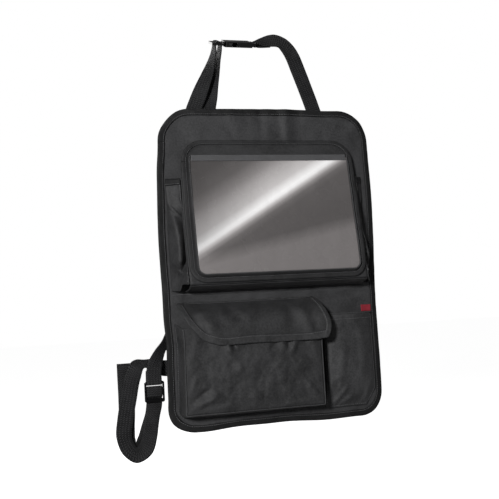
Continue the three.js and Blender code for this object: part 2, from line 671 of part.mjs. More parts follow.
// The strap is sewn behind the panel, climbs through the tongue's outer slot, passes over its bar,
// comes back down through the inner slot, and its tail hangs behind the panel's top edge.
const overBar = halfPlate + turnRoom;
const adjusterStrap = [
  { at: [TONGUE_END_X - 45, sewnBackY, panelTop - 32], across: [0.938, 0, -0.346] },
  { at: [TONGUE_END_X - 37, overBindingY + 0.5, panelTop - 8], across: [0.938, 0, -0.346] },
  { at: [TONGUE_END_X - 31.6, overBindingY + 1, panelTop + 6], across: [0.93, -0.04, -0.34] },
  { at: [TONGUE_END_X - 24.4, 3.6, panelTop + 22], across: [0.88, -0.3, -0.36] },
  { at: [TONGUE_END_X - 17, 4.4, panelTop + 39], across: [0.745, -0.574, -0.336] },
  { at: [TONGUE_END_X - 6, 5.6, panelTop + 64], across: [0.522, -0.819, -0.235] },
  { at: [TONGUE_END_X + 1.4, 7, panelTop + 84], across: [0.266, -0.956, -0.12] },
  { at: [outerSlotX - 1.2, 8.6, panelTop + 98], across: [0.095, -0.97, -0.2] },
  leaning(outerSlotX, BUCKLE_LEAN, -7, 0, -1),
  leaning(outerSlotX + 0.1, BUCKLE_LEAN, 0, 0, -1),
  leaning(outerBarX - turnRoom, BUCKLE_LEAN, overBar, 0, -1),
  leaning(outerBarX + BAR_WIDTH + turnRoom, BUCKLE_LEAN, overBar, 0, -1),
  leaning(innerSlotX - 0.1, BUCKLE_LEAN, 0, 0, -1),
  leaning(innerSlotX, BUCKLE_LEAN, -7, 0, -1),
  { at: [innerSlotX - 1.6, 9.4, panelTop + 97], across: [0.09, -0.97, -0.2] },
  { at: [innerSlotX - 5.6, 10.6, panelTop + 84], across: [0.26, -0.96, -0.1] },
  { at: [innerSlotX - 10.8, 11.4, panelTop + 65], across: [0.53, -0.84, -0.12] },
  { at: [innerSlotX - 17, 11.2, panelTop + 40], across: [0.8, -0.57, -0.16] },
  { at: [innerSlotX - 20.4, 9.4, panelTop + 23], across: [0.94, -0.27, -0.19] },
  { at: [innerSlotX - 24.4, 7, panelTop + 6], across: [0.97, -0.06, -0.2] },
  { at: [innerSlotX - 26.6, 5.4, panelTop - 6], across: [0.98, 0, -0.18] },
  { at: [innerSlotX - 30, 4.4, panelTop - 30], across: [0.99, 0, -0.14] },
];
addPiece(object, 'headrest_strap_adjuster', strap(adjusterStrap), webbingMaterial);

const socketEndX = SOCKET_START_X + SOCKET_LENGTH;
const endBarX = socketEndX - END_BAR / 2;
const wrapZ = halfPlate + SEAM_GAP + halfWeb;

// The fixed side wraps the socket's end bar, turns its face forward, bends down and is sewn behind.
const endTurn = endBarX - END_BAR / 2 - turnRoom;
const fixedStrap = [
  leaning(endBarX + 28, 1.08, -0.95, 6.2),
  leaning(endBarX + 14, 0.78, -1.5, 2.8),
  leaning(endBarX + 3, BUCKLE_LEAN, -wrapZ - 0.4),
  leaning(endTurn, BUCKLE_LEAN, -overBar),
  leaning(endTurn, BUCKLE_LEAN, overBar),
  leaning(endBarX + 3, BUCKLE_LEAN, wrapZ + 0.4),
  leaning(endBarX + 14, 0.78, 1.5, 2.8),
  leaning(endBarX + 28, 1.08, 0.95, 6.2),
  { at: [endBarX + 41.5, BUCKLE_Y, BUCKLE_Z + 7.4], across: [0, 0.36, 0.93] },
  { at: [endBarX + 53.5, BUCKLE_Y, BUCKLE_Z + 1], across: [0.44, 0.22, 0.87] },
  { at: [endBarX + 62.5, 3.8, BUCKLE_Z - 9], across: [0.74, 0.1, 0.66] },
  { at: [endBarX + 69, 3.4, BUCKLE_Z - 21], across: [0.88, 0, 0.46] },
  { at: [endBarX + 76, 3.2, panelTop + 73], across: [0.938, 0, 0.36] },
  { at: [endBarX + 84.2, 3, panelTop + 50], across: [0.938, 0, 0.34] },
  { at: [endBarX + 99.2, overBindingY + 0.3, panelTop + 6], across: [0.938, 0, 0.34] },
  { at: [endBarX + 104.2, overBindingY + 0.1, panelTop - 8], across: [0.938, 0, 0.34] },
  { at: [endBarX + 112.2, sewnBackY, panelTop - 32], across: [0.938, 0, 0.34] },
];
addPiece(object, 'headrest_strap_fixed', strap(fixedStrap), webbingMaterial);

// A plate drawn in X and Y lies flat, centred on z = 0.
function flatPlate(shape, thickness) {
  const settings = { depth: thickness, bevelEnabled: false, curveSegments: 4 };
  const geometry = new THREE.ExtrudeGeometry(shape, settings);
  geometry.translate(0, 0, -thickness / 2);
  return geometry;
}

// Tongue: a ladder end with two slots, a centre guide and two springy arms with ears, one moulding
function buckleTongue() {
  const half = BUCKLE_WIDTH / 2;
  const shoulder = SOCKET_START_X - SEAM_GAP;
  const frame = roundedRectangle(TONGUE_END_X, -half, shoulder, half, PLATE_CORNER);
  const arms = new THREE.Shape();
  arms.moveTo(shoulder - 1, -11);
  arms.lineTo(shoulder + 8, -11.5);
  arms.lineTo(shoulder + 13, -12.6);
  arms.lineTo(shoulder + 20, -9.4);
  arms.lineTo(shoulder + 20, -7.6);
  arms.lineTo(shoulder + 3, -7.6);
  arms.lineTo(shoulder + 3, -3.4);
  arms.lineTo(shoulder + 28, -2.6);
  arms.lineTo(shoulder + 28, 2.6);
  arms.lineTo(shoulder + 3, 3.4);
  arms.lineTo(shoulder + 3, 7.6);
  arms.lineTo(shoulder + 20, 7.6);
  arms.lineTo(shoulder + 20, 9.4);
  arms.lineTo(shoulder + 13, 12.6);
  arms.lineTo(shoulder + 8, 11.5);
  arms.lineTo(shoulder - 1, 11);
  arms.closePath();
  let tongue = toSolid(flatPlate(frame, PLASTIC_PLATE)).add(toSolid(flatPlate(arms, PLASTIC_PLATE)));
  [outerSlotX, innerSlotX].forEach((x) => {
    tongue = tongue.subtract(toSolid(box(SLOT_LENGTH, WEB_SLOT_WIDTH, 3 * PLASTIC_PLATE, x, 0, 0)));
  });
  return fromSolid(tongue).rotateX(BUCKLE_LEAN).translate(0, BUCKLE_Y, BUCKLE_Z);
}

// Socket: a flat tunnel open towards the tongue, with side windows for the ears and a bar at its end
function buckleSocket() {
  const half = BUCKLE_WIDTH / 2;
  const tunnelEnd = socketEndX - END_BAR - SLOT_LENGTH - SOCKET_WALL;
  const tunnelLength = tunnelEnd - SOCKET_START_X;
  const outline = roundedRectangle(SOCKET_START_X, -half, socketEndX, half, PLATE_CORNER);
  let socket = toSolid(flatPlate(outline, SOCKET_HEIGHT));
  const tunnelHeight = PLASTIC_PLATE + 2 * TUNNEL_ROOM;
  const tunnelX = SOCKET_START_X - 1 + tunnelLength / 2;
  const tunnel = box(tunnelLength + 2, BUCKLE_WIDTH - 2 * SOCKET_WALL, tunnelHeight, tunnelX, 0, 0);
  const windowX = SOCKET_START_X + 13;
  const windows = box(15, BUCKLE_WIDTH + 4, tunnelHeight, windowX, 0, 0);
  const webSlotX = endBarX - END_BAR / 2 - SLOT_LENGTH / 2;
  const webSlot = box(SLOT_LENGTH, WEB_SLOT_WIDTH, 3 * SOCKET_HEIGHT, webSlotX, 0, 0);
  const barRoom = SLOT_LENGTH + 2 * END_BAR;
  const shaved = (SOCKET_HEIGHT - PLASTIC_PLATE) / 2;
  const shaveZ = halfPlate + shaved;
  const shaveX = endBarX - END_BAR / 2 - SLOT_LENGTH + barRoom / 2;
  [tunnel, windows, webSlot].forEach((cut) => {
    socket = socket.subtract(toSolid(cut));
  });
  [-1, 1].forEach((side) => {
    const cut = box(barRoom, BUCKLE_WIDTH + 4, 2 * shaved, shaveX, 0, side * shaveZ);
    socket = socket.subtract(toSolid(cut));
  });
  return fromSolid(socket).rotateX(BUCKLE_LEAN).translate(0, BUCKLE_Y, BUCKLE_Z);
}

addPiece(object, 'buckle_tongue', buckleTongue(), plasticMaterial);
addPiece(object, 'buckle_socket', buckleSocket(), plasticMaterial);

// Belt round the seat: a short strap with a ladder lock, and a long strap that passes behind the panel

const panelLeft = -PANEL_WIDTH / 2;
const lockX = panelLeft - LOCK_REACH;
const lockTop = LOCK_Z + LOCK_HEIGHT / 2;
const lockFoot = LOCK_Z - LOCK_HEIGHT / 2;
const upperSlotTop = lockTop - LOCK_TOP_BAR;
const middleBarTop = upperSlotTop - LOCK_SLOT;
const lowerSlotTop = middleBarTop - LOCK_MIDDLE_BAR;
const lockFace = halfPlate + SEAM_GAP + halfWeb;

function ladderLock() {
  const half = LOCK_WIDTH / 2;
  const outline = roundedRectangle(lockX - half, lockFoot, lockX + half, lockTop, PLATE_CORNER);
  let lock = toSolid(plate(outline, halfPlate, PLASTIC_PLATE, 3));
  [upperSlotTop, lowerSlotTop].forEach((top) => {
    const slot = box(WEB_SLOT_WIDTH, 3 * PLASTIC_PLATE, LOCK_SLOT, lockX, 0, top - LOCK_SLOT / 2);
    lock = lock.subtract(toSolid(slot));
  });
  return fromSolid(lock);
}

addPiece(object, 'ladder_lock', ladderLock(), plasticMaterial);

const shortStrap = [
  { at: [panelLeft + 34, sewnBackY, LOCK_Z + 101.5], across: [0.64, 0, -0.77] },
  { at: [panelLeft + 21, overBindingY + 0.8, LOCK_Z + 92.5], across: [0.62, 0, -0.78] },
  { at: [panelLeft + 9, 5.8, LOCK_Z + 83.5], across: [0.6, 0.25, -0.7] },
  { at: [panelLeft - 3, 7.4, LOCK_Z + 71.5], across: [0.4, 0.62, -0.5] },
  { at: [panelLeft - 12.5, 5.6, LOCK_Z + 57.5], across: [0.62, 0.4, -0.52] },
  { at: [panelLeft - 19.5, 2.6, LOCK_Z + 43.5], across: [0.93, 0.1, -0.25] },
  { at: [lockX + 0.8, 0.4, LOCK_Z + 31.5], across: [0.99, 0, -0.06] },
  { at: [lockX, -1.6, lockTop + 8], across: [1, 0, 0] },
  { at: [lockX, -lockFace - 0.1, lockTop], across: [1, 0, 0] },
  { at: [lockX, -halfPlate - turnRoom, upperSlotTop - turnRoom], across: [1, 0, 0] },
  { at: [lockX, halfPlate + turnRoom, upperSlotTop - turnRoom], across: [1, 0, 0] },
  { at: [lockX, lockFace + 0.1, lockTop], across: [1, 0, 0] },
  { at: [lockX, 2, lockTop + 11], across: [1, 0, 0] },
  { at: [lockX + 0.4, 2.8, lockTop + 17], across: [1, 0, 0] },
];
addPiece(object, 'belt_short_strap', strap(shortStrap), webbingMaterial);

const tailGap = WEBBING_THICKNESS + SEAM_GAP;
const longStrap = [
  { at: [BELT_END_X, sewnBackY, BELT_Z], across: [0, 0, 1] },
  { at: [BELT_END_X - 28, 2.4, BELT_Z], across: [0, 0, 1] },
  { at: [BELT_END_X - 108, 9, BELT_Z], across: [0, 0, 1] },
  { at: [panelLeft + 124, 12, BELT_Z], across: [0, 0, 1] },
  { at: [panelLeft + 34, 14, BELT_Z], across: [0, 0, 1] },
  { at: [panelLeft - 4, 17, BELT_Z - 0.5], across: [0, 0, 1] },
  { at: [panelLeft - 20, 19, BELT_Z + 4], across: [0, 0.55, 0.83] },
  { at: [panelLeft - 34, 17.5, BELT_Z + 8.5], across: [0, 0.88, 0.44] },
  { at: [lockX - 20, 12, BELT_Z + 8.5], across: [-0.3, 0.75, 0.55] },
  { at: [lockX - 27, 5, BELT_Z + 3.5], across: [-0.66, 0.35, 0.62] },
  { at: [lockX - 31.5, 2, LOCK_Z + 30], across: [-0.88, 0.1, 0.38] },
  { at: [lockX - 36.3, 0.5, LOCK_Z + 16.5], across: [-0.96, 0, 0.24] },
  { at: [lockX - 41.3, 0, LOCK_Z - 6.5], across: [-0.97, 0, 0.22] },
  { at: [lockX - 48.4, 0, LOCK_Z - 40], across: [-0.97, -0.05, 0.2] },
  { at: [lockX - 51.4, -0.5, LOCK_Z - 66], across: [-0.98, -0.15, 0.06] },
  { at: [lockX - 45.7, -3, LOCK_Z - 85], across: [-0.78, -0.3, -0.52] },
  { at: [lockX - 33.2, -4, LOCK_Z - 96], across: [-0.1, -0.4, -0.88] },
  { at: [lockX - 18.2, -2, LOCK_Z - 88], across: [0.66, -0.3, -0.66] },
  { at: [lockX - 10.2, 1.4, LOCK_Z - 68], across: [0.95, 0, -0.22] },
  { at: [lockX - 3.7, 2.6, LOCK_Z - 38.5], across: [0.99, 0, -0.06] },
  { at: [lockX, 3.4, lockFoot - 6], across: [1, 0, 0] },
  { at: [lockX, lockFace + 0.1, lockFoot + 4], across: [1, 0, 0] },
  { at: [lockX, halfPlate + turnRoom, lowerSlotTop - LOCK_SLOT + turnRoom], across: [1, 0, 0] },
  { at: [lockX, -halfPlate - turnRoom, lowerSlotTop - turnRoom], across: [1, 0, 0] },
  { at: [lockX, -lockFace - 0.1, lowerSlotTop + 2], across: [1, 0, 0] },
  { at: [lockX, -lockFace - 0.1, middleBarTop - 2], across: [1, 0, 0] },
  { at: [lockX, -halfPlate - turnRoom, middleBarTop + turnRoom], across: [1, 0, 0] },
  { at: [lockX, halfPlate + turnRoom, middleBarTop + turnRoom], across: [1, 0, 0] },
  { at: [lockX, lockFace + 0.5, middleBarTop - 2], across: [1, 0, 0] },
  { at: [lockX, lockFace + tailGap, lowerSlotTop], across: [1, 0, 0] },
  { at: [lockX, lockFace + tailGap + 0.4, lockFoot + 3], across: [1, 0, 0] },
  { at: [lockX - 2, lockFace + tailGap + 1, lockFoot - 14], across: [1, 0, 0] },
  { at: [lockX - 9.7, lockFace + tailGap + 2.4, LOCK_Z - 54.5], across: [0.97, 0.1, -0.2] },
  { at: [lockX - 18.7, lockFace + tailGap + 3, LOCK_Z - 77], across: [0.86, 0.16, -0.42] },
  { at: [lockX - 31, lockFace + tailGap + 3.4, LOCK_Z - 89], across: [0.1, 0.2, -0.86] },
  { at: [lockX - 42, lockFace + tailGap + 3.4, LOCK_Z - 79], across: [-0.76, 0.1, -0.5] },
  { at: [lockX - 45, lockFace + tailGap + 3.6, LOCK_Z - 60], across: [-0.97, 0, -0.08] },
  { at: [lockX - 44, lockFace + tailGap + 4, LOCK_Z - 34], across: [-1, 0, 0] },
  { at: [lockX - 43.7, lockFace + tailGap + 5, LOCK_Z], across: [-1, 0, 0] },
  { at: [lockX - 43.7, lockFace + tailGap + 7, LOCK_Z + 28], across: [-1, 0, 0] },
  { at: [lockX - 43.7, lockFace + tailGap + 7.4, LOCK_Z + 47], across: [-1, 0, 0] },
];
addPiece(object, 'belt_long_strap', strap(longStrap), webbingMaterial);

export default object;
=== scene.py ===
import math

import bmesh
import bpy
from mathutils import Matrix, Vector, noise


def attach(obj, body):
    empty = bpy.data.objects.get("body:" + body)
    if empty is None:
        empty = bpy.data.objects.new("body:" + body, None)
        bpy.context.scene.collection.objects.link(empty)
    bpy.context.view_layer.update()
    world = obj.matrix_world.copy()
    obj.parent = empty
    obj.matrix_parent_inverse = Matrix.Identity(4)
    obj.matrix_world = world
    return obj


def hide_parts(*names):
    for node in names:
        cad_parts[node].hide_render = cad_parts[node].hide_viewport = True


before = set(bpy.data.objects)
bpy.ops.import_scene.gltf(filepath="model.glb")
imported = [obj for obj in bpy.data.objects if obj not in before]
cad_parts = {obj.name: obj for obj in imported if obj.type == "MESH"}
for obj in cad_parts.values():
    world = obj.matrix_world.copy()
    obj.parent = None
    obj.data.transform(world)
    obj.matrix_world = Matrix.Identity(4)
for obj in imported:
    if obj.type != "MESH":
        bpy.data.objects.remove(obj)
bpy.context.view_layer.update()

bl_info = {
    "name": "Car seat back organizer",
    "version": (1, 0, 0),
    "blender": (4, 5, 0),
    "location": "View3D > Sidebar > Organizer",
    "description": "Builds a fabric seat back organizer over its CAD frame",
    "category": "Add Mesh",
}

# Lengths are in millimetres, as in the source of the solids, and become metres in new_object
MM = 0.001

# Cloth, tape and webbing
CLOTH = 1.0
SEAM_GAP = 0.3
TAPE_PLY = 0.8
WEBBING_WIDTH = 25.4
WEBBING_THICKNESS = 1.4

# Back panel
PANEL_WIDTH = 368.0
PANEL_HEIGHT = 520.0
PANEL_TOP_CORNER = 54.0
PANEL_FOOT_CORNER = 42.0
PANEL_THICKNESS = 2.4
BINDING_WIDTH = 10.0

# Tablet holder: its back, sleeve, window and mouth
HOLDER_WIDTH = 296.0
HOLDER_LENGTH = 236.0
HOLDER_TOP_CORNER = 36.0
HOLDER_BOTTOM_CORNER = 24.0
HOLDER_TOP_Z = 207.0
HOLDER_TILT = math.radians(10.75)
HOLDER_BINDING = 6.0
SLEEVE_DEPTH = 5.6
SLEEVE_SLOPE = 3.0
SLEEVE_RIM = 2.6
FILM_THICKNESS = 0.5
FILM_LAP = 0.5
MOUTH_DROP = 37.0
MOUTH_TAPE_HEIGHT = 10.0
MOUTH_TAPE_INSET = 2.2
WINDOW_CORNER = 12.0

# Bellows pocket behind the holder
BELLOWS_LEFT = -150.0
BELLOWS_RIGHT = 151.0
BELLOWS_TOP_Z = 146.0
BELLOWS_FOOT_DROP = 3.1
BELLOWS_SEAM_DROP = 9.0
BELLOWS_SEAM_LEFT = -170.0
BELLOWS_SEAM_RIGHT = 166.0
MOUTH_BAND_HEIGHT = 11.0

# Flap pocket, its flap and its closure
POCKET_LEFT = -163.0
POCKET_RIGHT = 65.0
POCKET_TOP_Z = -96.0
POCKET_BOTTOM_Z = -231.0
POCKET_DEPTH = 36.0
POCKET_SPREAD = 5.0
POCKET_CORNER = 12.0
POCKET_FRONT_CORNER = 2.0
POCKET_CREASE = 4.0
FLAP_SEAM_Z = -57.0
FLAP_DROP = 67.0
FLAP_LEFT = -165.0
FLAP_RIGHT = 68.0
FLAP_FLARE = 12.0
FLAP_SWEEP = 52.0
FLAP_CLEARANCE = 3.2
FLAP_BINDING = 8.0
CLOSURE_WIDTH = 60.0
CLOSURE_HEIGHT = 16.0

# Slim pocket and label
SLIM_LEFT = 80.0
SLIM_RIGHT = 172.0
SLIM_TOP_Z = -86.0
SLIM_BOTTOM_Z = -243.0
SLIM_BULGE = 15.0
SLIM_CHAMFER = 18.0
SLIM_CHAMFER_HEIGHT = 28.0
LABEL_WIDTH = 19.0
LABEL_HEIGHT = 11.0
LABEL_Z = -79.5

# Flat sizes that the outlines above don't give
SLEEVE_RUN = 680
BELLOWS_SIDE_WIDTH = 46
BELLOWS_FOOT_WIDTH = 44
BELLOWS_HEM_LENGTH = 42
FLAP_SHOULDER = 20

# Stitching: how far it lies from an edge, and how far it stands out of the cloth or tape
PANEL_STITCH_INSET = 8.0
THREAD_RISE = 0.55
TAPE_RISE = 1.35
PANEL_BACK_RISE = 1.3
FLAP_THREAD_RISE = 1.75
TAPE_STEP = 2.2

# Where the pockets are sewn on, and how far a binding reaches past the cloth that it folds over
PANEL_FRONT = -PANEL_THICKNESS
SEWN_Y = PANEL_FRONT - SEAM_GAP - CLOTH / 2
BINDING_REACH = SEAM_GAP + TAPE_PLY

# The photograph's camera, in metres
CAMERA_PLACE = (-0.47119, -1.42206, -0.04872)
CAMERA_AHEAD = (0.29096, 0.95538, 0.05093)
CAMERA_UP = (0.03373, -0.06345, 0.99741)
CAMERA_LENS = 64.93
CAMERA_SENSOR = 36.0
FLOOR_Z = -0.62
FLOOR_SIZE = 12.0


# Number helpers


def clamp(value, low=0.0, high=1.0):
    return max(low, min(high, value))


def lerp(a, b, t):
    return a + (b - a) * t


def smooth(value, low, high):
    t = clamp((value - low) / (high - low))
    return t * t * (3 - 2 * t)


def between(stops, t):
    """Straight runs between evenly spaced stops."""
    scaled = clamp(t) * (len(stops) - 1)
    first = min(int(scaled), len(stops) - 2)
    return lerp(stops[first], stops[first + 1], scaled - first)


def between_soft(stops, t):
    """A smooth curve through evenly spaced stops."""
    scaled = clamp(t) * (len(stops) - 1)
    first = min(int(scaled), len(stops) - 2)
    w = scaled - first
    before = stops[max(first - 1, 0)]
    a, b = stops[first], stops[first + 1]
    after = stops[min(first + 2, len(stops) - 1)]
    return 0.5 * (
        2 * a
        + (b - before) * w
        + (2 * before - 5 * a + 4 * b - after) * w * w
        + (3 * a - before - 3 * b + after) * w ** 3
    )


def ripple(a, b, size, seed=0.0, octaves=3):
    """Smooth noise from about -1 to 1 over a surface, for creases of one size."""
    place = Vector((a / size, b / size, seed))
    return noise.fractal(place, 1.0, 2.1, octaves, noise_basis="PERLIN_ORIGINAL")


def crease(x, z, line, width, height, sharp=2.0):
    """A fold along a line from (x0, z0) to (x1, z1) that fades at its ends."""
    x0, z0, x1, z1 = line
    length2 = (x1 - x0) ** 2 + (z1 - z0) ** 2
    t = ((x - x0) * (x1 - x0) + (z - z0) * (z1 - z0)) / length2
    if t < -0.2 or t > 1.2:
        return 0.0
    away = abs((x - x0) * (z1 - z0) - (z - z0) * (x1 - x0)) / math.sqrt(length2)
    ends = smooth(t, -0.15, 0.25) * (1 - smooth(t, 0.7, 1.15))
    return height * ends * math.exp(-((away / width) ** sharp))


def creases(x, z, folds):
    return sum(crease(x, z, *fold) for fold in folds)


# Folds and dents of the panel: a line from one point to another, a width and a height

PANEL_FOLDS = [
    ((-178, 20, -150, -150), 16, -0.9),
    ((176, -40, 184, -180), 12, -1.2),
    ((60, 214, 110, 262), 20, 1.6),
    ((36, 272, 39, 200), 8, -1.9),
    ((22, 266, 26, 206), 8, 1.0),
    ((-9, 266, -6, 210), 8, 1.6),
    ((60, 264, 56, 206), 9, 1.4),
    ((-60, 262, -48, 214), 9, -1.3),
    ((-176, 250, -120, 205), 14, 1.8),
    ((178, 244, 140, 214), 9, -1.6),
    ((-182, -20, -150, -62), 8, -1.5),
    ((120, -36, 182, -60), 8, -1.6),
    ((100, -62, 176, -44), 7, 1.5),
    ((-140, 214, -60, 232), 16, -0.8),
    ((-150, -252, -40, -246), 7, -1.2),
    ((-20, -250, 100, -254), 6, 0.9),
    ((90, 60, 180, 10), 20, -1.0),
]


def sway(point):
    """Where a point of any soft piece goes once the panel's edge waves and its face sags."""
    x, y, z = point
    outside = max(abs(x) - 188, abs(z) - 264, 0)
    keep = 1 - smooth(outside, 2, 22)
    if keep <= 0:
        return Vector(point)
    left = 1 - smooth(x, -188, -110)
    right = smooth(x, 110, 188)
    foot = 1 - smooth(z, -262, -225)
    top = smooth(z, 225, 262)
    dx = -4.2 * left * smooth(z, -135, -70) * (1 - smooth(z, 150, 215))
    dx += -1.0 * left * math.sin(z / 38.0)
    dx += right * (1.6 * math.sin(z / 55.0 + 0.4) - 0.8)
    dz = foot * (-1.2 * math.exp(-(((x + 125) / 45) ** 2)) + 3.2 * math.exp(-(((x + 28) / 60) ** 2)))
    dz += foot * (0.8 * math.sin(x / 17.0) - 1.2)
    corner = left * (1 - smooth(z, -258, -205)) * (1 - smooth(x, -184, -140))
    dx -= 5.0 * corner
    dz -= 3.5 * corner
    high = (1 - smooth(x, -184, -140)) * smooth(z, 214, 250)
    dx += 2.6 * high
    dz -= 2.0 * high
    dz += top * (-1.4 * math.exp(-(((x - 112) / 34) ** 2)) + 1.2 * math.exp(-(((x - 10) / 60) ** 2)))
    dy = 1.1 * ripple(x, z, 95, 3.0) + 0.55 * ripple(x, z, 30, 7.0)
    dy += left * 1.4 * math.sin(z / 41.0 + 0.8) + right * 1.6 * math.sin(z / 47.0 + 2.0)
    dy += foot * 1.4 * math.sin(x / 33.0) + top * 1.0 * math.sin(x / 36.0 + 1.0)
    dy += creases(x, z, PANEL_FOLDS)
    return Vector((x + dx * keep, y + dy * keep, z + dz * keep))


# Mesh helpers


def new_object(name, verts, faces, uvs):
    """Makes an object from points and UVs in millimetres, hanging as the whole organizer does."""
    mesh = bpy.data.meshes.new(name)
    bm = bmesh.new()
    made = [bm.verts.new(sway(v) * MM) for v in verts]
    layer = bm.loops.layers.uv.new("UVMap")
    for face in faces:
        new_face = bm.faces.new([made[i] for i in face])
        new_face.smooth = True
        for loop, i in zip(new_face.loops, face):
            loop[layer].uv = (uvs[i][0] * MM, uvs[i][1] * MM)
    bmesh.ops.recalc_face_normals(bm, faces=bm.faces)
    bm.to_mesh(mesh)
    bm.free()
    obj = bpy.data.objects.new(name, mesh)
    bpy.context.scene.collection.objects.link(obj)
    return obj


def grid_faces(columns, rows):
    """Four-sided faces between rows of points, where a row has columns + 1 points."""
    faces = []
    for j in range(rows):
        for i in range(columns):
            a = j * (columns + 1) + i
            faces.append((a, a + 1, a + columns + 2, a + columns + 1))
    return faces


def tube_faces(base, rings, sides):
    """Faces of a tube with closed ends, whose rings of points start at number base."""
    faces = []
    for j in range(rings - 1):
        for k in range(sides):
            a = base + j * sides + k
            b = base + j * sides + (k + 1) % sides
            faces.append((a, b, b + sides, a + sides))
    last = base + (rings - 1) * sides
    faces.append(tuple(base + k for k in range(sides)))
    faces.append(tuple(last + k for k in reversed(range(sides))))
    return faces


def add_thickness(obj, thickness):
    solid = obj.modifiers.new("Thickness", "SOLIDIFY")
    solid.thickness = thickness * MM
    solid.offset = 0.0
    solid.use_even_offset = True


def finish_piece(obj, look, nodes=(), slot=None):
    """Gives a piece its material, and lets it ride on the one body."""
    obj.data.materials.clear()
    obj.data.materials.append(MATERIALS[look])
    slot or SLOT_OF.get(look, look)
    if nodes:
        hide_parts(*nodes)
    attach(obj, "root")


def cloth(name, place, grid, size, look, nodes, thickness=CLOTH):
    """A sheet: place(u, v) is its middle surface in millimetres, and size its flat width and length."""
    columns, rows = grid
    verts = []
    uvs = []
    for j in range(rows + 1):
        for i in range(columns + 1):
            u, v = i / columns, j / rows
            verts.append(place(u, v))
            uvs.append((u * size[0], v * size[1]))
    obj = new_object(name, verts, grid_faces(columns, rows), uvs)
    add_thickness(obj, thickness)
    finish_piece(obj, look, nodes)


def rounded_ring(half_width, low, high, low_corner, high_corner, step):
    """Points and outward directions round a rounded rectangle, from its top left corner downwards."""
    points = []

    def straight(x0, z0, x1, z1, normal):
        length = math.hypot(x1 - x0, z1 - z0)
        count = max(int(length / step), 1)
        for k in range(count):
            t = k / count
            points.append((lerp(x0, x1, t), lerp(z0, z1, t), normal))

    def corner(cx, cz, radius, start):
        count = max(int(radius * math.pi / 2 / step), 6)
        for k in range(count):
            turn = start + (k / count) * (math.pi / 2)
            way = (math.cos(turn), math.sin(turn))
            points.append((cx + radius * way[0], cz + radius * way[1], way))

    straight(-half_width, high - high_corner, -half_width, low + low_corner, (-1, 0))
    corner(-half_width + low_corner, low + low_corner, low_corner, math.pi)
    straight(-half_width + low_corner, low, half_width - low_corner, low, (0, -1))
    corner(half_width - low_corner, low + low_corner, low_corner, math.pi * 1.5)
    straight(half_width, low + low_corner, half_width, high - high_corner, (1, 0))
    corner(half_width - high_corner, high - high_corner, high_corner, 0)
    straight(half_width - high_corner, high, -half_width + high_corner, high, (0, 1))
    corner(-half_width + high_corner, high - high_corner, high_corner, math.pi / 2)
    return points


def folded_tape(name, ring, front, reach_in, look, nodes, place=None, seed=0.0):
    """A tape folded over an edge: its section runs from the front, round the edge, to the back."""
    rise = SEAM_GAP + TAPE_PLY / 2
    middle = front / 2
    half = rise - front / 2
    section = [(-reach_in, front - rise), (-reach_in + 1.2, front - rise - 0.25)]
    section += [(-reach_in * f, front - rise - 0.25) for f in (0.7, 0.5, 0.3)]
    for k in range(9):
        turn = -math.pi / 2 + k * math.pi / 8
        section.append((-0.8 + 1.5 * math.cos(turn), middle + (half + 0.2) * math.sin(turn)))
    section += [(-reach_in * f, rise + 0.2) for f in (0.3, 0.5, 0.7)]
    section.append((-reach_in, rise))
    run = [0.0]
    for a, b in zip(section, section[1:]):
        run.append(run[-1] + math.hypot(b[0] - a[0], b[1] - a[1]))
    verts = []
    uvs = []
    along = 0.0
    count = len(ring)
    for k in range(count + 1):
        x, z, way = ring[k % count]
        if k:
            along += math.hypot(x - ring[k - 1][0], z - ring[k - 1][1])
        for j, (out, y) in enumerate(section):
            pucker = 0.22 * ripple(along, run[j], 7.0, seed) + 0.3 * ripple(along, run[j], 26.0, seed + 4)
            lift = -pucker if y < middle else pucker
            reach = out + (0.5 * ripple(along, 0.0, 40.0, seed + 9) if j == 0 else 0.0)
            point = Vector((x + way[0] * reach, y + lift, z + way[1] * reach))
            verts.append(place(point) if place else point)
            uvs.append((along, run[j]))
    obj = new_object(name, verts, grid_faces(len(section) - 1, count), uvs)
    add_thickness(obj, TAPE_PLY)
    finish_piece(obj, look, nodes)


def stitches(name, lines, look="thread", slot=None, pitch=None, length=2.7, radius=0.32):
    """Lock stitches: short rounded threads along each line of points; a line is [(point, out), ...]."""
    pitch = pitch or sizes().stitch_pitch
    verts = []
    faces = []
    ends = [(-0.5, 0.25), (-0.36, 0.85), (0.0, 1.0), (0.36, 0.85), (0.5, 0.25)]
    sides = 6
    for line in lines:
        distance = [0.0]
        for (here, _), (after, _) in zip(line, line[1:]):
            distance.append(distance[-1] + (after - here).length)
        total = distance[-1]
        count = int(total / pitch)
        place = 0
        for n in range(count):
            want = (n + 0.5) * total / count
            while place < len(line) - 2 and distance[place + 1] < want:
                place += 1
            span = max(distance[place + 1] - distance[place], 1e-6)
            t = (want - distance[place]) / span
            centre = line[place][0].lerp(line[place + 1][0], t)
            out = line[place][1].lerp(line[place + 1][1], t).normalized()
            ahead = (line[place + 1][0] - line[place][0]).normalized()
            side = ahead.cross(out).normalized()
            faces += tube_faces(len(verts), len(ends), sides)
            for along, swell in ends:
                bow = 0.35 * radius * (1 - (2 * along) ** 2)
                middle = centre + ahead * (along * length) + out * bow
                for k in range(sides):
                    turn = 2 * math.pi * k / sides
                    ring = side * math.cos(turn) + out * math.sin(turn)
                    verts.append(middle + ring * (radius * swell))
    obj = new_object(name, verts, faces, [(v.x + v.y, v.z) for v in verts])
    finish_piece(obj, look, (), slot)


# Material groups


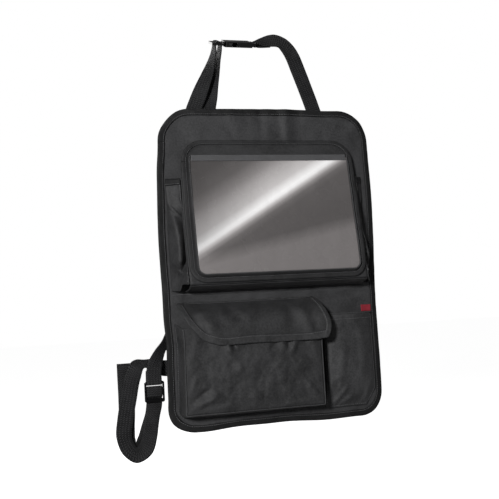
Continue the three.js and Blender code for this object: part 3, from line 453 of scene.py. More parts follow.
def new_group(name, inputs):
    """A node group with these inputs, which puts out a colour, a roughness and a height."""
    tree = bpy.data.node_groups.new(name, "ShaderNodeTree")
    for label, kind, default in inputs:
        socket = tree.interface.new_socket(name=label, in_out="INPUT", socket_type="NodeSocket" + kind)
        socket.default_value = default
    for label, kind in (("Colour", "Color"), ("Roughness", "Float"), ("Height", "Float")):
        tree.interface.new_socket(name=label, in_out="OUTPUT", socket_type="NodeSocket" + kind)
    return tree, tree.nodes.new("NodeGroupInput"), tree.nodes.new("NodeGroupOutput")


def new_material(name):
    material = bpy.data.materials.new(name)
    material.use_nodes = True
    return material, material.node_tree, material.node_tree.nodes["Principled BSDF"]


def math_node(tree, operation, a, b=None):
    node = tree.nodes.new("ShaderNodeMath")
    node.operation = operation
    for index, value in enumerate((a, b)):
        if value is None:
            continue
        if isinstance(value, (int, float)):
            node.inputs[index].default_value = value
        else:
            tree.links.new(value, node.inputs[index])
    return node.outputs[0]


def times(tree, a, b):
    return math_node(tree, "MULTIPLY", a, b)


def plus(tree, a, b):
    return math_node(tree, "ADD", a, b)


def minus(tree, a, b):
    return math_node(tree, "SUBTRACT", a, b)


def mix_colour(tree, factor, a, b, blend="MIX"):
    node = tree.nodes.new("ShaderNodeMix")
    node.data_type = "RGBA"
    node.blend_type = blend
    for socket, value in ((node.inputs[0], factor), (node.inputs[6], a), (node.inputs[7], b)):
        if isinstance(value, bpy.types.NodeSocket):
            tree.links.new(value, socket)
        else:
            socket.default_value = value
    return node.outputs[2]


def spread(tree, value, low, high, out_low=0.0, out_high=1.0):
    node = tree.nodes.new("ShaderNodeMapRange")
    tree.links.new(value, node.inputs[0])
    for index, number in enumerate((low, high, out_low, out_high)):
        node.inputs[index + 1].default_value = number
    return node.outputs[0]


def noise_on(tree, vector, scale, detail=3.0, roughness=0.55):
    node = tree.nodes.new("ShaderNodeTexNoise")
    node.inputs["Scale"].default_value = scale
    node.inputs["Detail"].default_value = detail
    node.inputs["Roughness"].default_value = roughness
    tree.links.new(vector, node.inputs["Vector"])
    return node.outputs["Fac"]


def cloth_uvs(tree):
    """The piece's own UVs, in metres along and across the cloth."""
    uv = tree.nodes.new("ShaderNodeUVMap")
    uv.uv_map = "UVMap"
    parts = tree.nodes.new("ShaderNodeSeparateXYZ")
    tree.links.new(uv.outputs[0], parts.inputs[0])
    return parts.outputs[0], parts.outputs[1]


def object_place(tree):
    return tree.nodes.new("ShaderNodeTexCoord").outputs["Object"]


def add_bump(tree, shader, height, strength, depth):
    raised = tree.nodes.new("ShaderNodeBump")
    raised.inputs["Strength"].default_value = strength
    raised.inputs["Distance"].default_value = depth
    tree.links.new(height, raised.inputs["Height"])
    tree.links.new(raised.outputs["Normal"], shader.inputs["Normal"])


def backdrop_rays(tree):
    """One for rays from the camera, straight or through clear film, and zero for light on the cloth."""
    path = tree.nodes.new("ShaderNodeLightPath")
    return math_node(tree, "MAXIMUM", path.outputs["Is Camera Ray"], path.outputs["Is Transmission Ray"])


def weave_group():
    """Plain weave: threads per metre, how much they differ, and the cloth's colours."""
    tree, start, end = new_group("Weave", [
        ("Colour", "Color", (0.03, 0.03, 0.03, 1)),
        ("Worn Colour", "Color", (0.06, 0.06, 0.06, 1)),
        ("Across", "Float", 1800.0),
        ("Along", "Float", 1500.0),
        ("Contrast", "Float", 0.35),
    ])
    place = object_place(tree)
    sines = []
    for metres, pitch in zip(cloth_uvs(tree), ("Across", "Along")):
        angle = times(tree, times(tree, metres, start.outputs[pitch]), math.pi)
        sines.append(math_node(tree, "SINE", angle))
    height = spread(tree, times(tree, *sines), -1.0, 1.0)
    slub = noise_on(tree, place, 900.0, 2.0)
    fleck = spread(tree, noise_on(tree, place, 360.0, 2.0), 0.36, 0.64)
    mottle = noise_on(tree, place, 34.0, 5.0)
    wear = spread(tree, noise_on(tree, place, 9.0, 4.0), 0.45, 0.75)
    total = times(tree, height, start.outputs["Contrast"])
    total = plus(tree, total, times(tree, spread(tree, slub, 0.3, 0.7), 0.35))
    total = plus(tree, total, times(tree, fleck, 0.5))
    total = plus(tree, total, times(tree, spread(tree, mottle, 0.35, 0.7), 0.45))
    total = plus(tree, total, times(tree, wear, 0.35))
    factor = spread(tree, minus(tree, total, 0.25), 0.0, 1.0)
    colour = mix_colour(tree, factor, start.outputs["Colour"], start.outputs["Worn Colour"])
    tree.links.new(colour, end.inputs["Colour"])
    tree.links.new(spread(tree, mottle, 0.3, 0.7, 0.5, 0.72), end.inputs["Roughness"])
    tree.links.new(plus(tree, height, times(tree, slub, 0.6)), end.inputs["Height"])
    return tree


def rib_group():
    """Webbing and tape: ribs across the run of the tape, broken up by its warp threads."""
    tree, start, end = new_group("Ribs", [
        ("Colour", "Color", (0.02, 0.02, 0.02, 1)),
        ("Worn Colour", "Color", (0.05, 0.05, 0.05, 1)),
        ("Ribs Per Metre", "Float", 700.0),
        ("Warps Per Metre", "Float", 900.0),
        ("Contrast", "Float", 0.5),
    ])
    run, side = cloth_uvs(tree)
    across = times(tree, side, start.outputs["Warps Per Metre"])
    warp = math_node(tree, "SINE", times(tree, across, math.pi))
    along = times(tree, run, start.outputs["Ribs Per Metre"])
    shifted = plus(tree, along, times(tree, warp, 0.18))
    height = spread(tree, math_node(tree, "SINE", times(tree, shifted, 2 * math.pi)), -1.0, 1.0)
    warps = spread(tree, warp, -1.0, 1.0)
    both = times(tree, height, spread(tree, warps, 0.0, 1.0, 0.6, 1.0))
    mottle = noise_on(tree, object_place(tree), 70.0, 4.0)
    level = times(tree, both, start.outputs["Contrast"])
    blotch = times(tree, spread(tree, mottle, 0.3, 0.75), 0.35)
    factor = math_node(tree, "MINIMUM", plus(tree, level, blotch), 1.0)
    colour = mix_colour(tree, factor, start.outputs["Colour"], start.outputs["Worn Colour"])
    tree.links.new(colour, end.inputs["Colour"])
    tree.links.new(spread(tree, mottle, 0.3, 0.7, 0.5, 0.72), end.inputs["Roughness"])
    tree.links.new(both, end.inputs["Height"])
    return tree


def grain_group():
    """Moulded plastic: a fine spark-eroded grain with faint handling marks."""
    tree, start, end = new_group("Moulded Grain", [
        ("Colour", "Color", (0.01, 0.01, 0.01, 1)),
        ("Worn Colour", "Color", (0.05, 0.05, 0.05, 1)),
        ("Scale", "Float", 2600.0),
    ])
    place = object_place(tree)
    fine = tree.nodes.new("ShaderNodeTexNoise")
    fine.inputs["Detail"].default_value = 2.0
    tree.links.new(place, fine.inputs["Vector"])
    tree.links.new(start.outputs["Scale"], fine.inputs["Scale"])
    rub = spread(tree, noise_on(tree, place, 120.0, 5.0, 0.65), 0.5, 0.8)
    colour = mix_colour(tree, rub, start.outputs["Colour"], start.outputs["Worn Colour"])
    tree.links.new(colour, end.inputs["Colour"])
    tree.links.new(spread(tree, rub, 0.0, 1.0, 0.1, 0.22), end.inputs["Roughness"])
    tree.links.new(fine.outputs["Fac"], end.inputs["Height"])
    return tree


def textile(name, group, colour, worn, values, strength, depth, sheen, specular):
    """A cloth, tape, webbing or moulded material around one of the groups above."""
    material, tree, shader = new_material(name)
    pattern = tree.nodes.new("ShaderNodeGroup")
    pattern.node_tree = group
    pattern.inputs["Colour"].default_value = (*colour, 1)
    pattern.inputs["Worn Colour"].default_value = (*worn, 1)
    for label, value in values.items():
        pattern.inputs[label].default_value = value
    tree.links.new(pattern.outputs["Colour"], shader.inputs["Base Color"])
    tree.links.new(pattern.outputs["Roughness"], shader.inputs["Roughness"])
    add_bump(tree, shader, pattern.outputs["Height"], strength, depth)
    shader.inputs["Specular IOR Level"].default_value = specular
    shader.inputs["Sheen Weight"].default_value = sheen
    shader.inputs["Sheen Roughness"].default_value = 0.5
    return material


# Places and levels of the colours of the painted sheen, a reflection painted on the film, from below its
# crisp edge upwards
PAINTED_SHEEN_STOPS = [
    (0.30, 0.078),
    (0.44, 0.088),
    (0.475, 0.118),
    (0.497, 0.24),
    (0.515, 0.50),
    (0.530, 0.80),
    (0.545, 0.88),
    (0.562, 0.78),
    (0.60, 0.51),
    (0.67, 0.37),
    (0.73, 0.22),
    (0.80, 0.115),
    (0.90, 0.075),
]
# Warm tint of the painted sheen's colours, stronger where they are darker
PAINTED_SHEEN_WARMTH = (1.06, 0.98, 0.97)


def window_material(colour):
    """Clear film over dark cloth, with a broad slanting painted reflection: a painted sheen with one crisp
    edge, set by its own UVs.
    """
    material, tree, shader = new_material("clear_film")
    across, down = cloth_uvs(tree)
    # Height above the painted sheen's crisp edge, in metres along the film
    edge = minus(tree, 0.1640, times(tree, across, 0.60))
    above = minus(tree, edge, down)
    ramp = tree.nodes.new("ShaderNodeValToRGB")
    tree.links.new(spread(tree, above, -0.16, 0.16), ramp.inputs[0])
    while len(ramp.color_ramp.elements) < len(PAINTED_SHEEN_STOPS):
        ramp.color_ramp.elements.new(0.5)
    for element, (position, level) in zip(ramp.color_ramp.elements, PAINTED_SHEEN_STOPS):
        element.position = position
        element.color = (*(level * (1 + (w - 1) * (1 - level)) for w in PAINTED_SHEEN_WARMTH), 1)
    ramp.color_ramp.interpolation = "LINEAR"
    # The painted sheen is weaker toward the window's left side
    weaker = spread(tree, across, 0.0, 0.13, 0.5, 0.0)
    weaker = times(tree, weaker, spread(tree, above, -0.004, 0.02))
    sheen = mix_colour(tree, weaker, ramp.outputs["Color"], (0.02, 0.019, 0.0185, 1))
    # A second, fainter painted sheen fills the foot of the window
    low_edge = minus(tree, 0.1723, times(tree, across, 0.219))
    below = spread(tree, minus(tree, down, low_edge), -0.011, 0.011)
    bright = mix_colour(tree, 1.0, sheen, (1.95, 1.95, 1.95, 1), "MULTIPLY")
    tone = mix_colour(tree, below, sheen, bright)
    tint = mix_colour(tree, 1.0, tone, (*colour, 1), "MULTIPLY")
    place = object_place(tree)
    haze = spread(tree, noise_on(tree, place, 8.0, 2.0), 0.3, 0.75, 0.0, 0.05)
    tree.links.new(mix_colour(tree, haze, tint, (0.36, 0.345, 0.34, 1)), shader.inputs["Base Color"])
    roughness = spread(tree, noise_on(tree, place, 30.0, 3.0), 0.3, 0.7, 0.2, 0.32)
    tree.links.new(roughness, shader.inputs["Roughness"])
    add_bump(tree, shader, noise_on(tree, place, 26.0, 2.0), 0.12, 0.001)
    shader.inputs["Alpha"].default_value = 0.95
    shader.inputs["Specular IOR Level"].default_value = 0.3
    return material


OXFORD = {"Across": 1300.0, "Along": 1150.0, "Contrast": 0.4}
PILE = {"Across": 900.0, "Along": 900.0, "Contrast": 0.7}
FINE_RIBS = {"Ribs Per Metre": 1100.0, "Warps Per Metre": 1400.0, "Contrast": 0.4}
COARSE_RIBS = {"Ribs Per Metre": 290.0, "Warps Per Metre": 420.0, "Contrast": 0.85}
THREAD_RIBS = {"Ribs Per Metre": 2600.0, "Warps Per Metre": 2600.0, "Contrast": 0.5}
MOULDED = {"Scale": 2600.0}
# Each finish: its group, its colour among the looks, how many times lighter its base and its worn
# threads are, the group's values, then the bump's strength and depth, the sheen and the gloss
FINISHES = {
    "panel_cloth": ("weave", "panel_colour", 1, 2.6, OXFORD, 0.45, 0.0003, 0.02, 0.24),
    "pocket_cloth": ("weave", "pocket_colour", 1, 2.8, OXFORD, 0.45, 0.0003, 0.02, 0.24),
    "binding_tape": ("ribs", "tape_colour", 1, 2.2, FINE_RIBS, 0.45, 0.0003, 0.04, 0.24),
    "flap_tape": ("weave", "pocket_colour", 1, 3.0, OXFORD, 0.45, 0.0003, 0.02, 0.24),
    "frame_tape": ("weave", "pocket_colour", 0.55, 2.0, OXFORD, 0.45, 0.0003, 0.02, 0.24),
    # Painted light: the slim pocket's copy of the pocket cloth, 1.35 times lighter, standing in for light
    # on its face
    "slim_cloth": ("weave", "pocket_colour", 1.35, 3.8, OXFORD, 0.45, 0.0003, 0.02, 0.24),
    # Painted highlight: a copy of the pocket cloth, 2.2 times lighter, for the lit ridges of the pocket's
    # seam and the slim pocket's hem
    "pocket_edge": ("weave", "pocket_colour", 2.2, 4.0, OXFORD, 0.45, 0.0003, 0.02, 0.24),
    "mouth_tape": ("ribs", "mouth_tape_colour", 1, 2.0, FINE_RIBS, 0.5, 0.0003, 0.08, 0.24),
    "closure_tape": ("weave", "tape_colour", 1, 1.7, PILE, 1.0, 0.0008, 0.2, 0.24),
    "webbing": ("ribs", "webbing_colour", 1, 7.0, COARSE_RIBS, 0.9, 0.0014, 0.0, 0.24),
    "label": ("ribs", "label_colour", 1, 1.8, FINE_RIBS, 0.5, 0.0003, 0.08, 0.24),
    "thread": ("ribs", "thread_colour", 1, 1.8, THREAD_RIBS, 0.4, 0.0002, 0.05, 0.24),
    "buckle_plastic": ("grain", "plastic_colour", 1, 2.6, MOULDED, 0.12, 0.0002, 0.0, 0.6),
}
# The slot that each of these finishes stands for; any other finish stands for the slot of its own name
SLOT_OF = {
    "flap_tape": "binding_tape",
    "frame_tape": "binding_tape",
    "slim_cloth": "pocket_cloth",
    "pocket_edge": "pocket_cloth",
    "thread": "binding_tape",
}
MATERIALS = {}


def make_materials(settings):
    groups = {"weave": weave_group(), "ribs": rib_group(), "grain": grain_group()}
    for name, (group, source, base, worn, *rest) in FINISHES.items():
        colour = getattr(settings, source)
        tones = [tuple(min(c * lighter, 1) for c in colour) for lighter in (base, worn)]
        MATERIALS[name] = textile(name, groups[group], *tones, *rest)
    MATERIALS["clear_film"] = window_material(settings.film_colour)


# Shapes shared with the solids


def panel_half_width(z):
    corner = PANEL_TOP_CORNER if z > 0 else PANEL_FOOT_CORNER
    into = max(abs(z) - (PANEL_HEIGHT / 2 - corner), 0)
    inset = corner - math.sqrt(max(corner ** 2 - into ** 2, 0))
    return PANEL_WIDTH / 2 - inset


HOLDER_TURN = BINDING_REACH * (math.cos(HOLDER_TILT) + math.sin(HOLDER_TILT))
HOLDER_Y = PANEL_FRONT - SEAM_GAP - HOLDER_TURN
SLEEVE_INSET = HOLDER_BINDING + SLEEVE_SLOPE + SLEEVE_RIM
SLEEVE_FOOT = -CLOTH - SEAM_GAP - CLOTH / 2
SLEEVE_FACE = -CLOTH - SLEEVE_DEPTH - FILM_THICKNESS - SEAM_GAP - CLOTH / 2
FILM_BACK = -CLOTH - SLEEVE_DEPTH
WINDOW_HALF = HOLDER_WIDTH / 2 - SLEEVE_INSET
MOUTH_TAPE_HALF = WINDOW_HALF - MOUTH_TAPE_INSET
SLEEVE_SEWN = HOLDER_BINDING + SEAM_GAP + CLOTH / 2
SLEEVE_INSETS = [2 * SEAM_GAP, SLEEVE_SEWN, SLEEVE_SEWN + SLEEVE_SLOPE, SLEEVE_INSET]
BELLOWS_OFFSET = BINDING_REACH + SEAM_GAP + CLOTH
BELLOWS_FOOT = HOLDER_TOP_Z - HOLDER_LENGTH * math.cos(HOLDER_TILT) - BELLOWS_FOOT_DROP
BELLOWS_SEAM = BELLOWS_FOOT - BELLOWS_SEAM_DROP
POCKET_FRONT_Y = PANEL_FRONT - POCKET_DEPTH
CLOSURE_Z = FLAP_SEAM_Z - FLAP_DROP + FLAP_BINDING + CLOSURE_HEIGHT / 2


def hold(point):
    """From the tablet holder's own flat drawing to its tilted place."""
    x, y, z = point
    c, s = math.cos(HOLDER_TILT), math.sin(HOLDER_TILT)
    return Vector((x, HOLDER_Y + y * c + z * s, HOLDER_TOP_Z - y * s + z * c))


def holder_half_width(z):
    """Half the holder's width at a height, with its larger top corners and smaller bottom ones."""
    half = HOLDER_WIDTH / 2
    top = max(z + HOLDER_TOP_CORNER, 0)
    low = max(-HOLDER_LENGTH + HOLDER_BOTTOM_CORNER - z, 0)
    half -= HOLDER_TOP_CORNER - math.sqrt(max(HOLDER_TOP_CORNER ** 2 - top ** 2, 0))
    return half - (HOLDER_BOTTOM_CORNER - math.sqrt(max(HOLDER_BOTTOM_CORNER ** 2 - low ** 2, 0)))


def sleeve_edge(u, inset):
    half = HOLDER_WIDTH / 2 - inset
    foot = -HOLDER_LENGTH + inset
    top = -MOUTH_DROP + MOUTH_TAPE_HEIGHT
    radius = max(HOLDER_BOTTOM_CORNER - inset, WINDOW_CORNER * (inset / SLEEVE_INSET))
    side = top - foot - radius
    base = 2 * (half - radius)
    stops = [0, 0.28, 0.4, 0.6, 0.72, 1]

    def run(first):
        return (u - stops[first]) / (stops[first + 1] - stops[first])

    def narrowed(z):
        into = max(z + HOLDER_TOP_CORNER, 0)
        return half - HOLDER_TOP_CORNER + math.sqrt(HOLDER_TOP_CORNER ** 2 - into ** 2)

    if u < stops[1]:
        z = top - side * run(0)
        return -narrowed(z), z
    if u < stops[2]:
        turn = run(1) * math.pi / 2
        return -half + radius * (1 - math.cos(turn)), foot + radius * (1 - math.sin(turn))
    if u < stops[3]:
        return -half + radius + base * run(2), foot
    if u < stops[4]:
        turn = run(3) * math.pi / 2
        return half - radius * (1 - math.sin(turn)), foot + radius * (1 - math.cos(turn))
    z = foot + radius + side * run(4)
    return narrowed(z), z


def sleeve(u, v):
    """The sleeve's rolled border round the window, from its sewn edge to the film."""
    x, z = sleeve_edge(u, between(SLEEVE_INSETS, v))
    depth = lerp(SLEEVE_FOOT, SLEEVE_FACE, smooth(v, 0.3, 0.72))
    slack = smooth(v, 0.35, 0.6)
    depth -= slack * (0.35 + 0.5 * ripple(x, z, 30, 53.0) + 0.3 * ripple(x, z, 9, 55.0))
    return hold((x, depth + 0.45 * smooth(v, 0.93, 1.0), z))


def mouth_tape(u, v):
    """The tape along the sleeve's open top."""
    x = lerp(-MOUTH_TAPE_HALF, MOUTH_TAPE_HALF, u)
    z = -MOUTH_DROP + MOUTH_TAPE_HEIGHT * v
    middle = FILM_BACK - FILM_THICKNESS - SEAM_GAP - CLOTH / 2
    crown = 0.3 * math.sin(math.pi * v) - 0.125 * ripple(x, z, 24, 59.0)
    return hold((x, middle - crown, z))


def bellows_y(z):
    face = HOLDER_Y - (HOLDER_TOP_Z - z) * math.tan(HOLDER_TILT)
    return face + BELLOWS_OFFSET / math.cos(HOLDER_TILT)


def bellows_side(front_x, seam_x, bulges, seed):
    outward = 1 if seam_x > 0 else -1

    def place(u, v):
        z = lerp(BELLOWS_TOP_Z - 1, BELLOWS_SEAM + 1, v)
        front_z = lerp(BELLOWS_TOP_Z - 1, BELLOWS_FOOT + 1, v)
        front_y = bellows_y(front_z)
        edge_x = front_x + outward * (SEAM_GAP + CLOTH)
        bulge_x = seam_x + outward * between_soft(bulges, v)
        lip = smooth(v, 0.26, 0.44) * (1 - smooth(v, 0.72, 0.86))
        deep = 4.0 + 14.0 * smooth(v, 0.12, 0.4) * (1 - smooth(v, 0.74, 0.95)) + 12.0 * lip
        tuck_x = (edge_x + seam_x) / 2 - outward * deep
        x = between_soft([seam_x, bulge_x, (bulge_x + tuck_x) / 2, tuck_x, edge_x], u)
        shares = [0.0, 0.30 + 0.44 * lip, 0.46 - 0.26 * lip, 0.66 - 0.46 * lip, 1.0]
        y = between_soft([lerp(SEWN_Y, front_y, share) for share in shares], u)
        # The fold that runs from the panel down to the holder's lower corner, and back under it
        fold = 6.0 * math.exp(-(((v - 0.80 - 0.13 * u) / 0.018) ** 2)) * smooth(u, 0.15, 0.4)
        fold += 3.5 * math.exp(-(((v - 1.04 + 0.10 * u) / 0.02) ** 2)) * smooth(u, 0.1, 0.3)
        fold += 3.4 * math.exp(-(((v - 0.10 - 0.52 * u) / 0.03) ** 2)) * smooth(u, 0.2, 0.45)
        y -= fold * (1 - smooth(u, 0.9, 1.0))
        slack = math.sin(math.pi * u) * math.sin(math.pi * clamp(v, 0.02, 0.98)) ** 0.5
        wrinkle = 1.3 * ripple(z, u * 46, 20, seed) + 0.9 * ripple(z, u * 30, 9, seed + 3)
        x += outward * slack * wrinkle
        y += slack * 1.2 * ripple(z, u * 40, 16, seed + 8)
        return Vector((x, min(y, SEWN_Y), between_soft([z, z, front_z, front_z], u)))

    return place


def closure_calm(x, z):
    """No creases where the hook and loop tapes hold the flap to the pocket."""
    across = abs(x - (POCKET_LEFT + POCKET_RIGHT) / 2) - CLOSURE_WIDTH / 2
    return smooth(max(across, abs(z - CLOSURE_Z) - CLOSURE_HEIGHT / 2), 0, 16)


def pocket_front(u, v):
    x = lerp(POCKET_LEFT, POCKET_RIGHT, u)
    z = lerp(POCKET_BOTTOM_Z, POCKET_TOP_Z, v)
    swell = 3.2 * math.sin(math.pi * u) ** 0.7 * math.sin(math.pi * v) ** 0.8
    slack = min(1.0, 9 * u * (1 - u)) * min(1.0, 8 * v * (1 - v) + 0.5 * v)
    lift = 2.2 * ripple(x, z, 42, 11.0) + 1.2 * ripple(x, z, 15, 13.0)
    rim = min(x - POCKET_LEFT, POCKET_RIGHT - x, z - POCKET_BOTTOM_Z)
    lift += 0.45 * math.exp(-rim / 7.0) * ripple(x * 1.2, z * 1.2, 6, 17.0, 2)
    lift += 1.5 * creases(x, z, POCKET_FOLDS)
    return Vector((x, POCKET_FRONT_Y - swell - slack * closure_calm(x, z) * lift, z))


POCKET_FOLDS = [
    ((-162, -228, -112, -202), 5, 2.8),
    ((-160, -214, -126, -192), 4, -2.0),
    ((-152, -230, -92, -221), 4, 2.0),
    ((-158, -200, -146, -170), 4, 1.8),
    ((-98, -108, -90, -140), 5, 2.6),
    ((-86, -110, -84, -132), 4, -1.6),
    ((-14, -106, 4, -142), 6, 3.0),
    ((10, -104, 8, -138), 4, -2.4),
    ((26, -108, 10, -146), 6, 2.2),
    ((44, -106, 36, -134), 5, -1.8),
    ((64, -228, 34, -192), 5, 2.4),
    ((60, -170, 50, -116), 6, 1.8),
    ((-160, -164, -140, -106), 7, 2.0),
    ((-6, -228, 54, -221), 4, 2.0),
    ((-60, -204, -16, -146), 14, -1.8),
    ((-120, -186, -60, -160), 12, 1.4),
    ((10, -190, 58, -176), 9, -1.4),
]


def pocket_gusset(u, v):
    spread_out = SEAM_GAP + CLOTH + POCKET_SPREAD * (1 - v)
    left = POCKET_LEFT - spread_out
    right = POCKET_RIGHT + spread_out
    foot = POCKET_BOTTOM_Z - spread_out
    left_top = POCKET_TOP_Z + 8 * (1 - v)
    right_top = POCKET_TOP_Z - 24 * (1 - v)
    bow = POCKET_CREASE * math.sin(math.pi * v)
    slack = math.sin(math.pi * v)
    y = lerp(SEWN_Y, POCKET_FRONT_Y, v)
    corner = lerp(POCKET_CORNER, POCKET_FRONT_CORNER, v)
    stops = [0, 0.32, 0.4, 0.6, 0.68, 1]

    def run(first):
        return (u - stops[first]) / (stops[first + 1] - stops[first])

    wave = slack * (0.9 * ripple(u * 480, v * 34, 24, 21.0) + 0.5 * ripple(u * 480, v * 34, 9, 23.0))
    if u < stops[1]:
        fade = math.sin(math.pi * run(0))
        return Vector((left + bow * fade + wave, y, lerp(left_top, foot + corner, run(0))))
    if u < stops[2]:
        turn = run(1) * math.pi / 2
        x = left + corner * (1 - math.cos(turn))
        return Vector((x + wave, y, foot + corner * (1 - math.sin(turn)) + wave))
    if u < stops[3]:
        sag = 2 * math.sin(math.pi * run(2)) * math.sin(math.pi * v)
        return Vector((lerp(left + corner, right - corner, run(2)), y, foot - sag + wave))
    if u < stops[4]:
        turn = run(3) * math.pi / 2
        x = right - corner * (1 - math.sin(turn))
        return Vector((x - wave, y, foot + corner * (1 - math.cos(turn)) + wave))
    fade = math.sin(math.pi * run(4))
    return Vector((right - bow * fade - wave, y, lerp(foot + corner, right_top, run(4))))


def catmull(points, t):
    """The centripetal Catmull-Rom curve through points, at t from 0 to 1 of its stops."""
    last = len(points) - 1
    place = clamp(t) * last
    first = min(int(place), last - 1)
    weight = place - first
    p1, p2 = points[first], points[first + 1]
    p0 = points[first - 1] if first else 2 * points[0] - points[1]
    p3 = points[first + 2] if first + 2 <= last else 2 * points[last] - points[last - 1]
    d0 = (p1 - p0).length ** 0.5
    d1 = (p2 - p1).length ** 0.5
    d2 = (p3 - p2).length ** 0.5
    if d1 < 1e-4:
        d1 = 1.0
    if d0 < 1e-4:
        d0 = d1
    if d2 < 1e-4:
        d2 = d1
    m1 = ((p1 - p0) / d0 - (p2 - p0) / (d0 + d1) + (p2 - p1) / d1) * d1
    m2 = ((p2 - p1) / d1 - (p3 - p1) / (d1 + d2) + (p3 - p2) / d2) * d1
    a = p1
    b = m1
    c = -3 * p1 + 3 * p2 - 2 * m1 - m2
    d = 2 * p1 - 2 * p2 + m1 + m2
    return a + b * weight + c * weight ** 2 + d * weight ** 3


# The flap hangs along its profile and ends at its edge, given as x and a share of its drop
FLAP_HANG = POCKET_FRONT_Y - FLAP_CLEARANCE - CLOTH
FLAP_PROFILE = [
    Vector((0, SEWN_Y, FLAP_SEAM_Z)),
    Vector((0, FLAP_HANG * 0.36, FLAP_SEAM_Z - FLAP_DROP * 0.1)),
    Vector((0, FLAP_HANG * 0.7, FLAP_SEAM_Z - FLAP_DROP * 0.25)),
    Vector((0, FLAP_HANG * 0.92, FLAP_SEAM_Z - FLAP_DROP * 0.45)),
    Vector((0, FLAP_HANG, FLAP_SEAM_Z - FLAP_DROP * 0.7)),
    Vector((0, FLAP_HANG - 2, FLAP_SEAM_Z - FLAP_DROP)),
]
FLAP_EDGE = [
    Vector((FLAP_LEFT, 0, 0)),
    Vector((FLAP_LEFT + FLAP_SWEEP * 0.1, 0.42, 0)),
    Vector((FLAP_LEFT + FLAP_SWEEP * 0.42, 0.8, 0)),
    Vector((FLAP_LEFT + FLAP_SWEEP, 0.98, 0)),
    Vector(((FLAP_LEFT + FLAP_RIGHT) / 2, 0.99, 0)),
    Vector((FLAP_RIGHT - 6, 0.99, 0)),
    Vector((FLAP_RIGHT + FLAP_FLARE * 0.75, 0.92, 0)),
    Vector((FLAP_RIGHT + FLAP_FLARE, 0.76, 0)),
    Vector((FLAP_RIGHT + FLAP_FLARE * 0.6, 0.45, 0)),
    Vector((FLAP_RIGHT, 0, 0)),
]
FLAP_FOLDS = [
    ((-40, -66, -28, -122), 12, -1.6),
    ((32, -62, 46, -116), 9, 1.8),
    ((14, -62, 22, -104), 7, -1.3),
    ((-132, -64, -112, -114), 10, 1.8),
    ((-90, -60, -68, -88), 8, -1.5),
    ((-150, -62, -140, -90), 6, -1.2),
]


def flap_surface(x, v):
    point = catmull(FLAP_PROFILE, clamp(v))
    lift = 5 * v * smooth(x, POCKET_RIGHT - 30, POCKET_RIGHT + FLAP_FLARE)
    soft = smooth(v, 0.05, 0.3) * closure_calm(x, point.z)
    lift += soft * (1.3 * ripple(x, point.z, 48, 31.0) + 0.7 * ripple(x, point.z, 15, 33.0))
    lift += 1.6 * soft * creases(x, point.z, FLAP_FOLDS)
    return Vector((x, point.y - lift, point.z))


def flap_cloth(u, v):
    edge = catmull(FLAP_EDGE, u)
    seam_x = lerp(FLAP_LEFT + 1, FLAP_RIGHT - 1, u)
    return flap_surface(lerp(seam_x, edge.x, v), edge.y * v)


def flap_frame(u, reach):
    """A point this far in from the flap's edge, with the direction out of its front."""
    edge = catmull(FLAP_EDGE, u)
    ahead = catmull(FLAP_EDGE, min(u + 0.035, 1)) - catmull(FLAP_EDGE, max(u - 0.035, 0))
    inward = Vector((ahead.y * FLAP_DROP, -ahead.x)).normalized()
    x = edge.x + inward.x * reach
    down = clamp(edge.y + inward.y * reach / FLAP_DROP)
    point = flap_surface(x, down)
    lower = flap_surface(x, min(down + 0.01, 1)) - flap_surface(x, max(down - 0.01, 0))
    out = Vector((0, lower.z, -lower.y)).normalized()
    rim = flap_surface(edge.x, clamp(edge.y)) - flap_surface(
        edge.x + inward.x * 2, clamp(edge.y + inward.y * 2 / FLAP_DROP))
    return point, out, rim.normalized()


SLIM_FOLDS = [
    ((90, -240, 116, -208), 4, 3.2),
    ((88, -226, 100, -198), 4, -2.6),
    ((98, -242, 128, -224), 4, 2.6),
    ((122, -242, 146, -228), 4, -2.0),
    ((148, -238, 162, -200), 5, 2.2),
    ((100, -216, 112, -146), 7, 1.8),
    ((128, -204, 132, -106), 12, -1.8),
    ((150, -180, 146, -110), 8, 1.4),
]


def slim_pocket(u, v):
    z = lerp(SLIM_BOTTOM_Z, SLIM_TOP_Z, v)
    cut = clamp((SLIM_BOTTOM_Z + SLIM_CHAMFER_HEIGHT - z) / SLIM_CHAMFER_HEIGHT)
    x = lerp(SLIM_LEFT, SLIM_RIGHT - SLIM_CHAMFER * cut, u)
    arch = math.sin(math.pi * u ** 0.8) ** 0.5
    upright = math.sin((math.pi / 2) * min(v * 3.2, 1))
    slack = math.sin(math.pi * u) ** 0.5 * smooth(v, 0.0, 0.06)
    lift = 0.8 * ripple(x, z, 34, 41.0) + 0.45 * ripple(x, z, 13, 43.0) + creases(x, z, SLIM_FOLDS)
    hem = 1.1 * smooth(v, 0.935, 0.95) + 1.6 * smooth(v, 0.8, 1.0)
    return Vector((x, SEWN_Y - SLIM_BULGE * arch * upright - slack * max(lift, -1.0) - hem * slack, z))


def line_on(place, start, end, count, lift=THREAD_RISE):
    """Points and outward directions along a line on a sheet; lift is the distance out of its front."""
    step = 0.004
    line = []
    for k in range(count + 1):
        t = k / count
        u, v = lerp(start[0], end[0], t), lerp(start[1], end[1], t)
        du = place(min(u + step, 1), v) - place(max(u - step, 0), v)
        dv = place(u, min(v + step, 1)) - place(u, max(v - step, 0))
        out = du.cross(dv).normalized()
        if out.y > 0:
            out.negate()
        line.append((place(u, v) + out * lift, out))
    return line


def ring_line(half_width, low, high, low_corner, high_corner, y, out, place=None):
    line = []
    for x, z, _ in rounded_ring(half_width, low, high, low_corner, high_corner, 4.0):
        point = Vector((x, y, z))
        line.append((place(point) if place else point, out))
    line.append(line[0])
    return line


STRAP_PER_STOP = 8
STRAP_COLUMNS = 10


